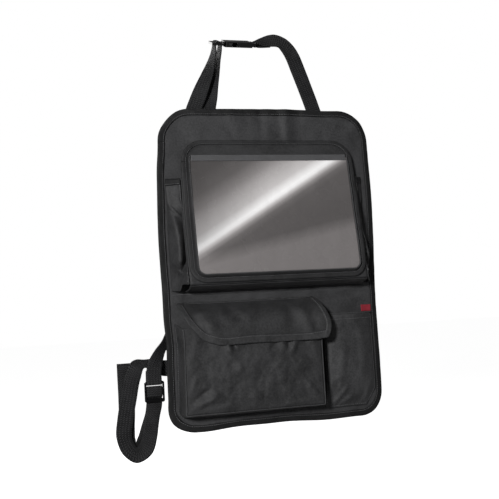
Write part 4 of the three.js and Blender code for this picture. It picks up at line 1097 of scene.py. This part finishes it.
def strap(name, stops, node):
    """Webbing along stops of (x, y, z, across x, across y, across z)."""
    route = [Vector(stop[:3]) for stop in stops]
    turns = [Vector(stop[3:]) for stop in stops]
    steps = STRAP_PER_STOP * (len(stops) - 1)
    verts = []
    uvs = []
    along = 0.0
    before = route[0]
    for k in range(steps + 1):
        centre = catmull(route, k / steps)
        across = catmull(turns, k / steps)
        along += (centre - before).length
        before = centre
        for j in range(STRAP_COLUMNS + 1):
            side = (j / STRAP_COLUMNS - 0.5) * WEBBING_WIDTH
            verts.append(centre + across * side)
            uvs.append((along, side))
    obj = new_object(name, verts, grid_faces(STRAP_COLUMNS, steps), uvs)
    add_thickness(obj, WEBBING_THICKNESS)
    finish_piece(obj, "webbing", [node])


# The straps' routes: a place, then the way across the webbing
ADJUSTER_STOPS = [
    (-132, 1, 228, 0.94, 0, -0.35),
    (-124, 2.6, 252, 0.94, 0, -0.35),
    (-118.6, 3.1, 266, 0.93, -0.04, -0.34),
    (-111.4, 3.6, 282, 0.88, -0.3, -0.36),
    (-104, 4.4, 299, 0.75, -0.57, -0.34),
    (-93, 5.6, 324, 0.52, -0.82, -0.23),
    (-85.6, 7, 344, 0.27, -0.96, -0.12),
    (-80.95, 8.6, 358, 0.1, -0.97, -0.2),
    (-79.75, 6.62, 366.51, 0, -0.93, -0.37),
    (-79.65, 4, 373, 0, -0.93, -0.37),
    (-78.35, 2.93, 375.64, 0, -0.93, -0.37),
    (-71.65, 2.93, 375.64, 0, -0.93, -0.37),
    (-70.35, 4, 373, 0, -0.93, -0.37),
    (-70.25, 6.62, 366.51, 0, -0.93, -0.37),
    (-71.85, 9.4, 357, 0.09, -0.97, -0.2),
    (-75.85, 10.6, 344, 0.26, -0.96, -0.1),
    (-81.05, 11.4, 325, 0.53, -0.84, -0.12),
    (-87.25, 11.2, 300, 0.8, -0.57, -0.16),
    (-90.65, 9.4, 283, 0.94, -0.27, -0.19),
    (-94.65, 7, 266, 0.97, -0.06, -0.2),
    (-96.85, 5.4, 254, 0.98, 0, -0.18),
    (-100.25, 4.4, 230, 0.99, 0, -0.14),
]
FIXED_STOPS = [
    (16.25, 4.84, 378.75, 0, 0.47, 0.88),
    (2.25, 5.05, 374.73, 0, 0.71, 0.7),
    (-8.75, 5.27, 369.85, 0, 0.93, 0.37),
    (-14.35, 5.07, 370.36, 0, 0.93, 0.37),
    (-14.35, 2.93, 375.64, 0, 0.93, 0.37),
    (-8.75, 2.73, 376.15, 0, 0.93, 0.37),
    (2.25, 2.95, 376.87, 0, 0.71, 0.7),
    (16.25, 3.16, 379.65, 0, 0.47, 0.88),
    (29.75, 4, 380.4, 0, 0.36, 0.93),
    (41.75, 4, 374, 0.44, 0.22, 0.87),
    (50.75, 3.8, 364, 0.74, 0.1, 0.66),
    (57.25, 3.4, 352, 0.88, 0, 0.46),
    (64.25, 3.2, 333, 0.94, 0, 0.36),
    (72.45, 3, 310, 0.94, 0, 0.34),
    (87.45, 2.4, 266, 0.94, 0, 0.34),
    (92.45, 2.2, 252, 0.94, 0, 0.34),
    (100.45, 1, 228, 0.94, 0, 0.34),
]
SHORT_STOPS = [
    (-150, 1, -92, 0.64, 0, -0.77),
    (-163, 2.9, -101, 0.62, 0, -0.78),
    (-175, 5.8, -110, 0.6, 0.25, -0.7),
    (-187, 7.4, -122, 0.4, 0.62, -0.5),
    (-196.5, 5.6, -136, 0.62, 0.4, -0.52),
    (-203.5, 2.6, -150, 0.93, 0.1, -0.25),
    (-206.5, 0.4, -162, 0.99, 0, -0.06),
    (-207.3, -1.6, -169, 1, 0, 0),
    (-207.3, -3.1, -177, 1, 0, 0),
    (-207.3, -2.85, -181.85, 1, 0, 0),
    (-207.3, 2.85, -181.85, 1, 0, 0),
    (-207.3, 3.1, -177, 1, 0, 0),
    (-207.3, 2, -166, 1, 0, 0),
    (-206.9, 2.8, -160, 1, 0, 0),
]
LONG_STOPS = [
    (168, 1, -158, 0, 0, 1),
    (140, 2.4, -158, 0, 0, 1),
    (60, 9, -158, 0, 0, 1),
    (-60, 12, -158, 0, 0, 1),
    (-150, 14, -158, 0, 0, 1),
    (-188, 17, -158.5, 0, 0, 1),
    (-204, 19, -154, 0, 0.55, 0.83),
    (-218, 17.5, -149.5, 0, 0.88, 0.44),
    (-227.3, 12, -149.5, -0.3, 0.75, 0.55),
    (-234.3, 5, -154.5, -0.66, 0.35, 0.62),
    (-238.8, 2, -163.5, -0.88, 0.1, 0.38),
    (-243.6, 0.5, -177, -0.96, 0, 0.24),
    (-248.6, 0, -200, -0.97, 0, 0.22),
    (-255.7, 0, -233.5, -0.97, -0.05, 0.2),
    (-258.7, -0.5, -259.5, -0.98, -0.15, 0.06),
    (-253, -3, -278.5, -0.78, -0.3, -0.52),
    (-240.5, -4, -289.5, -0.1, -0.4, -0.88),
    (-225.5, -2, -281.5, 0.66, -0.3, -0.66),
    (-217.5, 1.4, -261.5, 0.95, 0, -0.22),
    (-211, 2.6, -232, 0.99, 0, -0.06),
    (-207.3, 3.4, -216, 1, 0, 0),
    (-207.3, 3.1, -206, 1, 0, 0),
    (-207.3, 2.85, -203.45, 1, 0, 0),
    (-207.3, -2.85, -199.75, 1, 0, 0),
    (-207.3, -3.1, -196.9, 1, 0, 0),
    (-207.3, -3.1, -188.4, 1, 0, 0),
    (-207.3, -2.85, -185.55, 1, 0, 0),
    (-207.3, 2.85, -185.55, 1, 0, 0),
    (-207.3, 3.5, -188.4, 1, 0, 0),
    (-207.3, 4.7, -198.9, 1, 0, 0),
    (-207.3, 5.1, -207, 1, 0, 0),
    (-209.3, 5.7, -224, 1, 0, 0),
    (-217, 7.1, -248, 0.97, 0.1, -0.2),
    (-226, 7.7, -270.5, 0.86, 0.16, -0.42),
    (-238.3, 8.1, -282.5, 0.1, 0.2, -0.86),
    (-249.3, 8.1, -272.5, -0.76, 0.1, -0.5),
    (-252.3, 8.3, -253.5, -0.97, 0, -0.08),
    (-251.3, 8.7, -227.5, -1, 0, 0),
    (-251, 9.7, -193.5, -1, 0, 0),
    (-251, 11.7, -165.5, -1, 0, 0),
    (-251, 12.1, -146.5, -1, 0, 0),
]


def colour_property(name, description, default):
    return bpy.props.FloatVectorProperty(
        name=name, description=description, default=default, size=3, min=0.0, max=1.0, subtype="COLOR")


class OrganizerLooks(bpy.types.PropertyGroup):
    """Colours of the organizer's cloth, tape, webbing and fittings"""

    panel_colour: colour_property("Panel", "Cloth of the back panel", (0.0148, 0.0148, 0.0154))
    pocket_colour: colour_property("Pockets", "Cloth of the pockets", (0.0108, 0.0108, 0.0112))
    tape_colour: colour_property("Binding", "Tape folded over the edges", (0.0022, 0.0022, 0.0024))
    webbing_colour: colour_property("Webbing", "Straps", (0.0030, 0.0030, 0.0032))
    mouth_tape_colour: colour_property("Mouth tape", "Tape over the window", (0.045, 0.045, 0.047))
    label_colour: colour_property("Label", "Plain side tab", (0.16, 0.010, 0.018))
    thread_colour: colour_property("Thread", "Stitching", (0.085, 0.085, 0.088))
    plastic_colour: colour_property("Fittings", "Buckle and ladder lock", (0.0022, 0.0022, 0.0025))
    film_colour: colour_property("Window", "Tint of the clear film", (0.99, 0.99, 0.99))


class OrganizerSizes(bpy.types.PropertyGroup):
    """Sizes that change the dressing without changing the solids"""

    stitch_pitch: bpy.props.FloatProperty(
        name="Stitch pitch", description="Distance between stitches in millimetres",
        default=3.6, min=2.0, max=8.0)
    grid_step: bpy.props.FloatProperty(
        name="Cloth grid", description="Distance between the cloth's mesh rows in millimetres",
        default=2.0, min=1.2, max=12.0)


def looks():
    return bpy.context.scene.organizer_looks


def sizes():
    return bpy.context.scene.organizer_sizes


def cells(length):
    """Mesh cells for a length in millimetres."""
    return max(int(length / sizes().grid_step), 4)


# Name, place, size and power of each lamp, in metres and watts; all face the organizer's middle
LAMPS = [
    ("key", (-1.4, -2.05, 0.5), 0.3, 70.0),
    ("fill", (1.9, -1.6, 0.5), 1.6, 0.8),
    ("top", (-0.4, -0.9, 2.2), 0.8, 8.0),
    ("back", (-0.8, 2.2, 0.9), 1.6, 24.0),
    ("rear_side", (2.1, 1.0, 0.6), 1.2, 3.5),
]
# How strongly the floor shows white to the camera, and the world lights the cloth
FLOOR_GLOW = 0.92
WORLD_LIGHT = 0.07

# The moulded fittings' rounded edges, in metres
FITTING_ROUND = 0.0006


class ORGANIZER_OT_stage(bpy.types.Operator):
    """Adds the floor, the lights, the world and the camera"""

    bl_idname = "organizer.stage"
    bl_label = "Stage"

    def execute(self, context):
        scene = context.scene
        scene.view_settings.view_transform = "Standard"
        self.floor(scene)
        for lamp in LAMPS:
            self.lamp(scene, *lamp)
        self.world(scene)
        self.camera(scene)
        return {"FINISHED"}

    def floor(self, scene):
        mesh = bpy.data.meshes.new("floor")
        bm = bmesh.new()
        bmesh.ops.create_grid(bm, x_segments=1, y_segments=1, size=FLOOR_SIZE)
        bmesh.ops.translate(bm, verts=bm.verts, vec=(0, 0, FLOOR_Z))
        bm.to_mesh(mesh)
        bm.free()
        floor = bpy.data.objects.new("floor", mesh)
        scene.collection.objects.link(floor)
        material, tree, shader = new_material("floor")
        seen = backdrop_rays(tree)
        colour = mix_colour(tree, seen, (0.3, 0.3, 0.3, 1), (0.9, 0.9, 0.9, 1))
        tree.links.new(colour, shader.inputs["Base Color"])
        tree.links.new(times(tree, seen, FLOOR_GLOW), shader.inputs["Emission Strength"])
        shader.inputs["Emission Color"].default_value = (1, 1, 1, 1)
        shader.inputs["Roughness"].default_value = 0.9
        floor.data.materials.append(material)

    def lamp(self, scene, name, place, size, power):
        data = bpy.data.lights.new(name, "AREA")
        data.shape = "SQUARE"
        data.size = size
        data.energy = power
        lamp = bpy.data.objects.new(name, data)
        scene.collection.objects.link(lamp)
        lamp.location = place
        lamp.rotation_euler = (-Vector(place)).to_track_quat("-Z", "Y").to_euler()

    def world(self, scene):
        scene.world = bpy.data.worlds.new("studio")
        scene.world.use_nodes = True
        tree = scene.world.node_tree
        back = tree.nodes["Background"]
        back.inputs["Color"].default_value = (1, 1, 1, 1)
        strength = spread(tree, backdrop_rays(tree), 0.0, 1.0, WORLD_LIGHT, 1.0)
        tree.links.new(strength, back.inputs["Strength"])

    def camera(self, scene):
        data = bpy.data.cameras.new("photo_camera")
        data.lens = CAMERA_LENS
        data.sensor_width = CAMERA_SENSOR
        camera = bpy.data.objects.new("photo_camera", data)
        scene.collection.objects.link(camera)
        ahead = Vector(CAMERA_AHEAD).normalized()
        right = ahead.cross(Vector(CAMERA_UP)).normalized()
        turn = Matrix((right, right.cross(ahead), -ahead)).transposed()
        camera.matrix_world = Matrix.Translation(Vector(CAMERA_PLACE)) @ turn.to_4x4()
        scene.camera = camera


class ORGANIZER_OT_panel(bpy.types.Operator):
    """Builds the back panel, its folded edge binding and their stitching"""

    bl_idname = "organizer.panel"
    bl_label = "Back panel"

    def execute(self, context):
        half = PANEL_WIDTH / 2
        top = PANEL_HEIGHT / 2

        def place(u, v):
            z = lerp(-top, top, v)
            return Vector((panel_half_width(z) * (2 * u - 1), PANEL_FRONT / 2, z))

        cloth(
            "panel_cloth", place, (cells(PANEL_WIDTH), cells(PANEL_HEIGHT)), (PANEL_WIDTH, PANEL_HEIGHT),
            "panel_cloth", ["back_panel"],
            PANEL_THICKNESS)
        ring = rounded_ring(half, -top, top, PANEL_FOOT_CORNER, PANEL_TOP_CORNER, TAPE_STEP)
        folded_tape(
            "panel_binding", ring, PANEL_FRONT, BINDING_WIDTH, "binding_tape", ["edge_binding"])
        inset = PANEL_STITCH_INSET
        lines = []
        for y, out in ((PANEL_FRONT - TAPE_RISE, -1), (PANEL_BACK_RISE, 1)):
            lines.append(ring_line(
                half - inset, -top + inset, top - inset,
                PANEL_FOOT_CORNER - inset, PANEL_TOP_CORNER - inset, y, Vector((0, out, 0))))
        stitches("panel_stitches", lines)
        return {"FINISHED"}


class ORGANIZER_OT_holder(bpy.types.Operator):
    """Builds the tablet holder: its back, sleeve, window, mouth tape and binding"""

    bl_idname = "organizer.holder"
    bl_label = "Tablet holder"

    def execute(self, context):
        self.back()
        self.sleeve()
        self.window()
        self.mouth_tape()
        self.binding()
        return {"FINISHED"}

    def back(self):
        def place(u, v):
            z = -HOLDER_LENGTH * (1 - v)
            bow = 0.25 * ripple(u * 296, v * 236, 60, 51.0)
            return hold((holder_half_width(z) * (2 * u - 1), -CLOTH / 2 + bow * 0.3, z))

        cloth(
            "holder_cloth", place, (cells(HOLDER_WIDTH), cells(HOLDER_LENGTH)),
            (HOLDER_WIDTH, HOLDER_LENGTH), "pocket_cloth", ["holder_back"])

    def sleeve(self):
        cloth(
            "sleeve_border", sleeve, (cells(SLEEVE_RUN), 16), (SLEEVE_RUN, SLEEVE_INSET + 3),
            "frame_tape", ["window_frame"])

    def window(self):
        low = -HOLDER_LENGTH + SLEEVE_INSET - FILM_LAP
        high = -MOUTH_DROP + MOUTH_TAPE_HEIGHT / 2
        half = WINDOW_HALF + FILM_LAP

        def place(u, v):
            z = lerp(high, low, v)
            into = max(low + WINDOW_CORNER - z, 0)
            width = half - WINDOW_CORNER + math.sqrt(max(WINDOW_CORNER ** 2 - into ** 2, 0))
            bow = 0.35 * math.sin(math.pi * u) * math.sin(math.pi * v) * ripple(u * 260, v * 190, 90, 57.0)
            return hold((width * (2 * u - 1), FILM_BACK - FILM_THICKNESS / 2 + bow, z))

        cloth(
            "window", place, (cells(2 * half), cells(high - low)), (2 * half, high - low),
            "clear_film", ["window_film"], FILM_THICKNESS)

    def mouth_tape(self):
        cloth(
            "mouth_tape_cloth", mouth_tape, (cells(2 * MOUTH_TAPE_HALF), 8),
            (2 * MOUTH_TAPE_HALF, MOUTH_TAPE_HEIGHT), "mouth_tape", ["mouth_tape"])

    def binding(self):
        front = SLEEVE_FOOT - CLOTH / 2
        ring = rounded_ring(
            HOLDER_WIDTH / 2, -HOLDER_LENGTH, 0, HOLDER_BOTTOM_CORNER, HOLDER_TOP_CORNER, TAPE_STEP)
        folded_tape(
            "holder_binding_tape", ring, front, HOLDER_BINDING, "frame_tape", ["holder_binding"],
            hold, 5.0)
        inset = HOLDER_BINDING
        out = Vector((0, -math.cos(HOLDER_TILT), math.sin(HOLDER_TILT)))
        stitches("holder_stitches", [
            ring_line(
                HOLDER_WIDTH / 2 - inset, -HOLDER_LENGTH + inset, -inset,
                HOLDER_BOTTOM_CORNER - inset, HOLDER_TOP_CORNER - inset, front - TAPE_RISE, out, hold),
            line_on(mouth_tape, (0, 0.13), (1, 0.13), 80),
            line_on(mouth_tape, (0, 0.87), (1, 0.87), 80),
            line_on(sleeve, (0.002, 0.9), (0.998, 0.9), 240),
        ])


class ORGANIZER_OT_bellows(bpy.types.Operator):
    """Builds the bellows pocket behind the holder: its front, gussets, foot and mouth tape"""

    bl_idname = "organizer.bellows"
    bl_label = "Bellows pocket"

    def execute(self, context):
        width = BELLOWS_RIGHT - BELLOWS_LEFT
        height = BELLOWS_TOP_Z - BELLOWS_FOOT

        def front(u, v):
            z = lerp(BELLOWS_TOP_Z, BELLOWS_FOOT, v)
            return Vector((lerp(BELLOWS_LEFT, BELLOWS_RIGHT, u), bellows_y(z), z))

        cloth(
            "bellows_front_cloth", front, (cells(width) // 2, cells(height) // 2), (width, height),
            "pocket_cloth", ["bellows_front"])
        left = bellows_side(BELLOWS_LEFT, BELLOWS_SEAM_LEFT, [2, 0, -9, -12, -10, -8], 61.0)
        right = bellows_side(BELLOWS_RIGHT, BELLOWS_SEAM_RIGHT, [-12, -3, -14, -8, 0, 2], 71.0)
        lines = []
        for side, place in (("left", left), ("right", right)):
            cloth(
                f"bellows_{side}_cloth", place, (30, cells(height)), (BELLOWS_SIDE_WIDTH, height),
                "pocket_cloth", [f"bellows_{side}_gusset"])
            lines.append(line_on(place, (0.95, 0.02), (0.95, 0.98), 60))

        def foot(u, v):
            x = lerp(BELLOWS_LEFT, BELLOWS_RIGHT, u)
            slack = math.sin(math.pi * v)
            z = lerp(BELLOWS_SEAM, BELLOWS_FOOT - SEAM_GAP - CLOTH, v)
            z += slack * (0.7 * ripple(x, v * 42, 20, 81.0) - 3)
            return Vector((x, lerp(SEWN_Y, bellows_y(BELLOWS_FOOT), v), z))

        cloth(
            "bellows_foot_cloth", foot, (cells(width), 20), (width, BELLOWS_FOOT_WIDTH),
            "pocket_cloth", ["bellows_foot_gusset"])
        inset = SEAM_GAP + CLOTH

        def band(u, v):
            z = BELLOWS_TOP_Z - MOUTH_BAND_HEIGHT * (1 - v)
            x = lerp(BELLOWS_LEFT + inset, BELLOWS_RIGHT - inset, u)
            return Vector((x, bellows_y(z) + inset / math.cos(HOLDER_TILT), z))

        cloth(
            "bellows_mouth_tape", band, (cells(width) // 2, 4), (width, MOUTH_BAND_HEIGHT),
            "binding_tape", ["bellows_mouth_band"], TAPE_PLY)
        for side, place, outward in (("left", left, -1), ("right", right, 1)):
            hem = self.hem_on(place, outward, MOUTH_BAND_HEIGHT / height)
            cloth(
                f"bellows_{side}_hem", hem, (24, 4), (BELLOWS_HEM_LENGTH, MOUTH_BAND_HEIGHT),
                "binding_tape", [], TAPE_PLY)
            lines.append(line_on(hem, (0.05, 0.8), (0.95, 0.8), 14, 0.45))
        seam = []
        for k in range(91):
            x = lerp(BELLOWS_SEAM_LEFT, BELLOWS_SEAM_RIGHT, k / 90)
            seam.append((Vector((x, PANEL_FRONT - 0.05, BELLOWS_SEAM - 5)), Vector((0, -1, 0))))
        lines.append(seam)
        stitches("bellows_stitches", lines)
        return {"FINISHED"}

    def hem_on(self, place, outward, share):
        """The tape on the outside of a gusset's mouth, down to this share of its height."""
        step = 0.01

        def hem(u, v):
            down = v * share
            du = place(min(u + step, 1), down) - place(max(u - step, 0), down)
            out = du.cross(Vector((0, 0, -1))).normalized()
            if out.x * outward < 0:
                out.negate()
            return place(u, down) + out * 0.95

        return hem


class ORGANIZER_OT_flap_pocket(bpy.types.Operator):
    """Builds the flap pocket: its front, gusset, flap, bound edge and hidden closure"""

    bl_idname = "organizer.flap_pocket"
    bl_label = "Flap pocket"

    def execute(self, context):
        width = POCKET_RIGHT - POCKET_LEFT
        height = POCKET_TOP_Z - POCKET_BOTTOM_Z
        cloth(
            "pocket_front_cloth", pocket_front, (cells(width), cells(height)), (width, height),
            "pocket_cloth", ["flap_pocket_front"])
        run = 2 * height + width
        cloth(
            "pocket_gusset_cloth", pocket_gusset, (cells(run), 14), (run, POCKET_DEPTH),
            "pocket_cloth", ["flap_pocket_gusset"])
        self.seam()
        size = (FLAP_RIGHT - FLAP_LEFT + FLAP_FLARE / 2, FLAP_DROP + FLAP_SHOULDER)
        cloth(
            "flap_cloth", flap_cloth, (cells(size[0]), cells(size[1])), size,
            "pocket_cloth", ["pocket_flap"])
        self.binding()
        self.closure()
        edge_line = []
        for k in range(2, 119):
            point, out, _ = flap_frame(k / 120, FLAP_BINDING - 1.8)
            edge_line.append((point + out * FLAP_THREAD_RISE, out))
        # A raised cord along the flap's seam, dark as painted shadow under the seam's fold
        seam_line = line_on(flap_cloth, (0.0, 0.012), (1.0, 0.012), 90, 0.9)
        stitches("flap_seam_cord", [seam_line], "closure_tape", "binding_tape", 3.0, 3.3, 1.1)
        stitches("pocket_stitches", [
            line_on(flap_cloth, (0.01, 0.035), (0.99, 0.035), 80),
            edge_line,
            line_on(pocket_gusset, (0.01, 0.1), (0.99, 0.1), 140),
        ])
        return {"FINISHED"}

    def seam(self):
        """The raised seam where the pocket's front meets its gusset, lighter than the cloth as a painted
        highlight along its ridge.
        """
        aside = 0.8
        top = POCKET_TOP_Z - 1
        left, right = POCKET_LEFT - aside, POCKET_RIGHT + aside
        route = []
        for k in range(61):
            route.append(Vector((left, 0, lerp(top, POCKET_BOTTOM_Z, k / 60))))
        for k in range(1, 91):
            route.append(Vector((lerp(POCKET_LEFT, POCKET_RIGHT, k / 90), 0, POCKET_BOTTOM_Z - aside)))
        for k in range(1, 61):
            route.append(Vector((right, 0, lerp(POCKET_BOTTOM_Z, top, k / 60))))
        sides = 8
        half_width, half_height = 0.95, 1.7
        out = Vector((0, -1, 0))
        verts = []
        uvs = []
        along = 0.0
        for k, point in enumerate(route):
            before = route[max(k - 1, 0)]
            ahead = (route[min(k + 1, len(route) - 1)] - before).normalized()
            side = ahead.cross(out).normalized()
            along += (point - before).length
            wobble = 0.35 * ripple(along, 0, 12, 91.0)
            centre = point + out * (-POCKET_FRONT_Y + 1.2 + wobble)
            for j in range(sides):
                turn = 2 * math.pi * j / sides
                round_side = side * (half_width * math.cos(turn))
                verts.append(centre + round_side + out * (half_height * math.sin(turn)))
                uvs.append((along, j * 0.7))
        obj = new_object("pocket_seam", verts, tube_faces(0, len(route), sides), uvs)
        finish_piece(obj, "pocket_edge")

    def binding(self):
        """The tape folded over the flap's free edge: its front, its rounded edge and its back."""
        count = 220
        first, last = 0.004, 0.996
        front_rise, back_rise, edge_rise = 1.15, 0.95, 1.2
        flat_step, edge_step = 2.5, 0.9
        reaches = [FLAP_BINDING, FLAP_BINDING * 0.66, FLAP_BINDING * 0.33, 0.4]
        verts = []
        uvs = []
        along = 0.0
        before = flap_frame(first, 0.0)[0]
        for k in range(count + 1):
            u = lerp(first, last, k / count)
            edge, edge_out, rim = flap_frame(u, 0.0)
            along += (edge - before).length
            before = edge
            pucker = 0.2 * ripple(along, 0.0, 8.0, 95.0)
            sides = [flap_frame(u, reach)[:2] for reach in reaches]
            section = [(point + out * (front_rise + pucker), flat_step) for point, out in sides]
            for turn in (0.35 * math.pi, 0.0, -0.35 * math.pi):
                rounding = rim * (edge_rise * math.cos(turn)) + edge_out * (front_rise * math.sin(turn))
                section.append((edge + rounding, edge_step))
            section += [(point - out * back_rise, flat_step) for point, out in reversed(sides)]
            run = 0.0
            for point, step in section:
                verts.append(point)
                uvs.append((along, run))
                run += step
        obj = new_object("flap_binding_tape", verts, grid_faces(2 * len(reaches) + 2, count), uvs)
        add_thickness(obj, TAPE_PLY)
        finish_piece(obj, "flap_tape", ["flap_binding"])

    def closure(self):
        middle = (POCKET_LEFT + POCKET_RIGHT) / 2
        room = CLOTH / 2 + SEAM_GAP + TAPE_PLY / 2

        def loop(u, v):
            x = middle + CLOSURE_WIDTH * (u - 0.5)
            z = CLOSURE_Z + CLOSURE_HEIGHT * (v - 0.5)
            across = (x - POCKET_LEFT) / (POCKET_RIGHT - POCKET_LEFT)
            up = (z - POCKET_BOTTOM_Z) / (POCKET_TOP_Z - POCKET_BOTTOM_Z)
            return pocket_front(across, up) + Vector((0, -room, 0))

        def hook(u, v):
            return loop(u, v) + Vector((0, -SEAM_GAP - TAPE_PLY, 0))

        for side, place in (("loop", loop), ("hook", hook)):
            cloth(
                f"closure_{side}s", place, (30, 8), (CLOSURE_WIDTH, CLOSURE_HEIGHT),
                "closure_tape", [f"closure_{side}_tape"], TAPE_PLY)


class ORGANIZER_OT_slim_pocket(bpy.types.Operator):
    """Builds the slim pocket and the plain side label"""

    bl_idname = "organizer.slim_pocket"
    bl_label = "Slim pocket and label"

    def execute(self, context):
        size = (SLIM_RIGHT - SLIM_LEFT + 6, SLIM_TOP_Z - SLIM_BOTTOM_Z)
        # Painted light: the slim pocket wears a lighter copy of the pocket cloth
        cloth(
            "slim_pocket_cloth", slim_pocket, (cells(size[0]), cells(size[1])), size,
            "slim_cloth", ["slim_pocket"])
        self.label()
        # A raised cord along the slim pocket's mouth in the lighter seam cloth: a painted highlight on the
        # hem's edge
        hem = line_on(slim_pocket, (0.02, 0.997), (0.98, 0.997), 40, 0.5)
        stitches("slim_pocket_hem", [hem], "pocket_edge", None, 3.0, 3.3, 1.35)
        stitches("slim_pocket_stitches", [
            line_on(slim_pocket, (0.03, 0.94), (0.97, 0.94), 40),
            line_on(slim_pocket, (0.975, 0.98), (0.975, 0.05), 60),
            line_on(slim_pocket, (0.03, 0.02), (0.97, 0.02), 40),
            line_on(slim_pocket, (0.03, 0.98), (0.03, 0.03), 60),
        ])
        return {"FINISHED"}

    def label(self):
        middle = PANEL_WIDTH / 2 - BINDING_WIDTH - SEAM_GAP - LABEL_WIDTH / 2

        def place(u, v):
            lift = 1.6 * (1 - u) ** 2 + 0.4 * math.sin(v * 5 + u * 3)
            x = middle + LABEL_WIDTH * (u - 0.5)
            return Vector((x, SEWN_Y - max(lift, 0), LABEL_Z + LABEL_HEIGHT * (v - 0.5)))

        cloth(
            "label_tab", place, (16, 10), (LABEL_WIDTH, LABEL_HEIGHT), "label", ["side_label"])


class ORGANIZER_OT_straps(bpy.types.Operator):
    """Builds the headrest strap, the belt and their sewn ends"""

    bl_idname = "organizer.straps"
    bl_label = "Straps"

    def execute(self, context):
        strap("headrest_strap_left", ADJUSTER_STOPS, "headrest_strap_adjuster")
        strap("headrest_strap_right", FIXED_STOPS, "headrest_strap_fixed")
        strap("belt_short", SHORT_STOPS, "belt_short_strap")
        strap("belt_long", LONG_STOPS, "belt_long_strap")
        lines = []
        for stops in (ADJUSTER_STOPS, FIXED_STOPS[::-1], SHORT_STOPS, LONG_STOPS):
            lines += self.box_stitch(stops)
        stitches("strap_stitches", lines, "thread", "webbing", 3.0)
        return {"FINISHED"}

    def box_stitch(self, stops):
        """A sewn box with a cross near a strap's first end, on the face away from the panel."""
        start = Vector(stops[0][:3])
        ahead = (Vector(stops[1][:3]) - start).normalized()
        across = Vector(stops[0][3:]).normalized()
        out = Vector((0, 1, 0))
        lift = out * (WEBBING_THICKNESS / 2 + 0.1)
        corners = []
        for along, side in ((2.5, -10), (20, -10), (20, 10), (2.5, 10)):
            corners.append(start + ahead * along + across * side + lift)
        lines = []
        for a, b in ((0, 1), (1, 2), (2, 3), (3, 0), (0, 2), (1, 3)):
            lines.append([(corners[a].lerp(corners[b], k / 6), out) for k in range(7)])
        return lines


class ORGANIZER_OT_fittings(bpy.types.Operator):
    """Finishes the side-release buckle and the ladder lock"""

    bl_idname = "organizer.fittings"
    bl_label = "Fittings"

    def execute(self, context):
        for node in ("buckle_tongue", "buckle_socket", "ladder_lock"):
            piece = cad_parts[node]
            piece.data.materials.clear()
            piece.data.materials.append(MATERIALS["buckle_plastic"])
            bevel = piece.modifiers.new("Rounded edges", "BEVEL")
            bevel.width = FITTING_ROUND
            bevel.segments = 3
            bevel.limit_method = "ANGLE"
            bevel.angle_limit = math.radians(40)
            bevel.harden_normals = False
        return {"FINISHED"}


class ORGANIZER_PT_panel(bpy.types.Panel):
    """Lists the steps that build the organizer"""

    bl_label = "Seat back organizer"
    bl_idname = "ORGANIZER_PT_panel"
    bl_space_type = "VIEW_3D"
    bl_region_type = "UI"
    bl_category = "Organizer"

    def draw(self, context):
        layout = self.layout
        for step in STEPS:
            layout.operator(step.bl_idname)
        for label in OrganizerLooks.__annotations__:
            layout.prop(context.scene.organizer_looks, label)
        for label in OrganizerSizes.__annotations__:
            layout.prop(context.scene.organizer_sizes, label)


STEPS = [
    ORGANIZER_OT_panel,
    ORGANIZER_OT_holder,
    ORGANIZER_OT_bellows,
    ORGANIZER_OT_flap_pocket,
    ORGANIZER_OT_slim_pocket,
    ORGANIZER_OT_straps,
    ORGANIZER_OT_fittings,
    ORGANIZER_OT_stage,
]
CLASSES = [OrganizerLooks, OrganizerSizes, *STEPS, ORGANIZER_PT_panel]


def register():
    for cls in CLASSES:
        bpy.utils.register_class(cls)
    bpy.types.Scene.organizer_looks = bpy.props.PointerProperty(type=OrganizerLooks)
    bpy.types.Scene.organizer_sizes = bpy.props.PointerProperty(type=OrganizerSizes)


def unregister():
    del bpy.types.Scene.organizer_sizes
    del bpy.types.Scene.organizer_looks
    for cls in reversed(CLASSES):
        bpy.utils.unregister_class(cls)


def main():
    register()
    make_materials(looks())
    bpy.ops.organizer.panel()
    bpy.ops.organizer.holder()
    bpy.ops.organizer.bellows()
    bpy.ops.organizer.flap_pocket()
    bpy.ops.organizer.slim_pocket()
    bpy.ops.organizer.straps()
    bpy.ops.organizer.fittings()
    bpy.ops.organizer.stage()


if __name__ == "__main__":
    main()
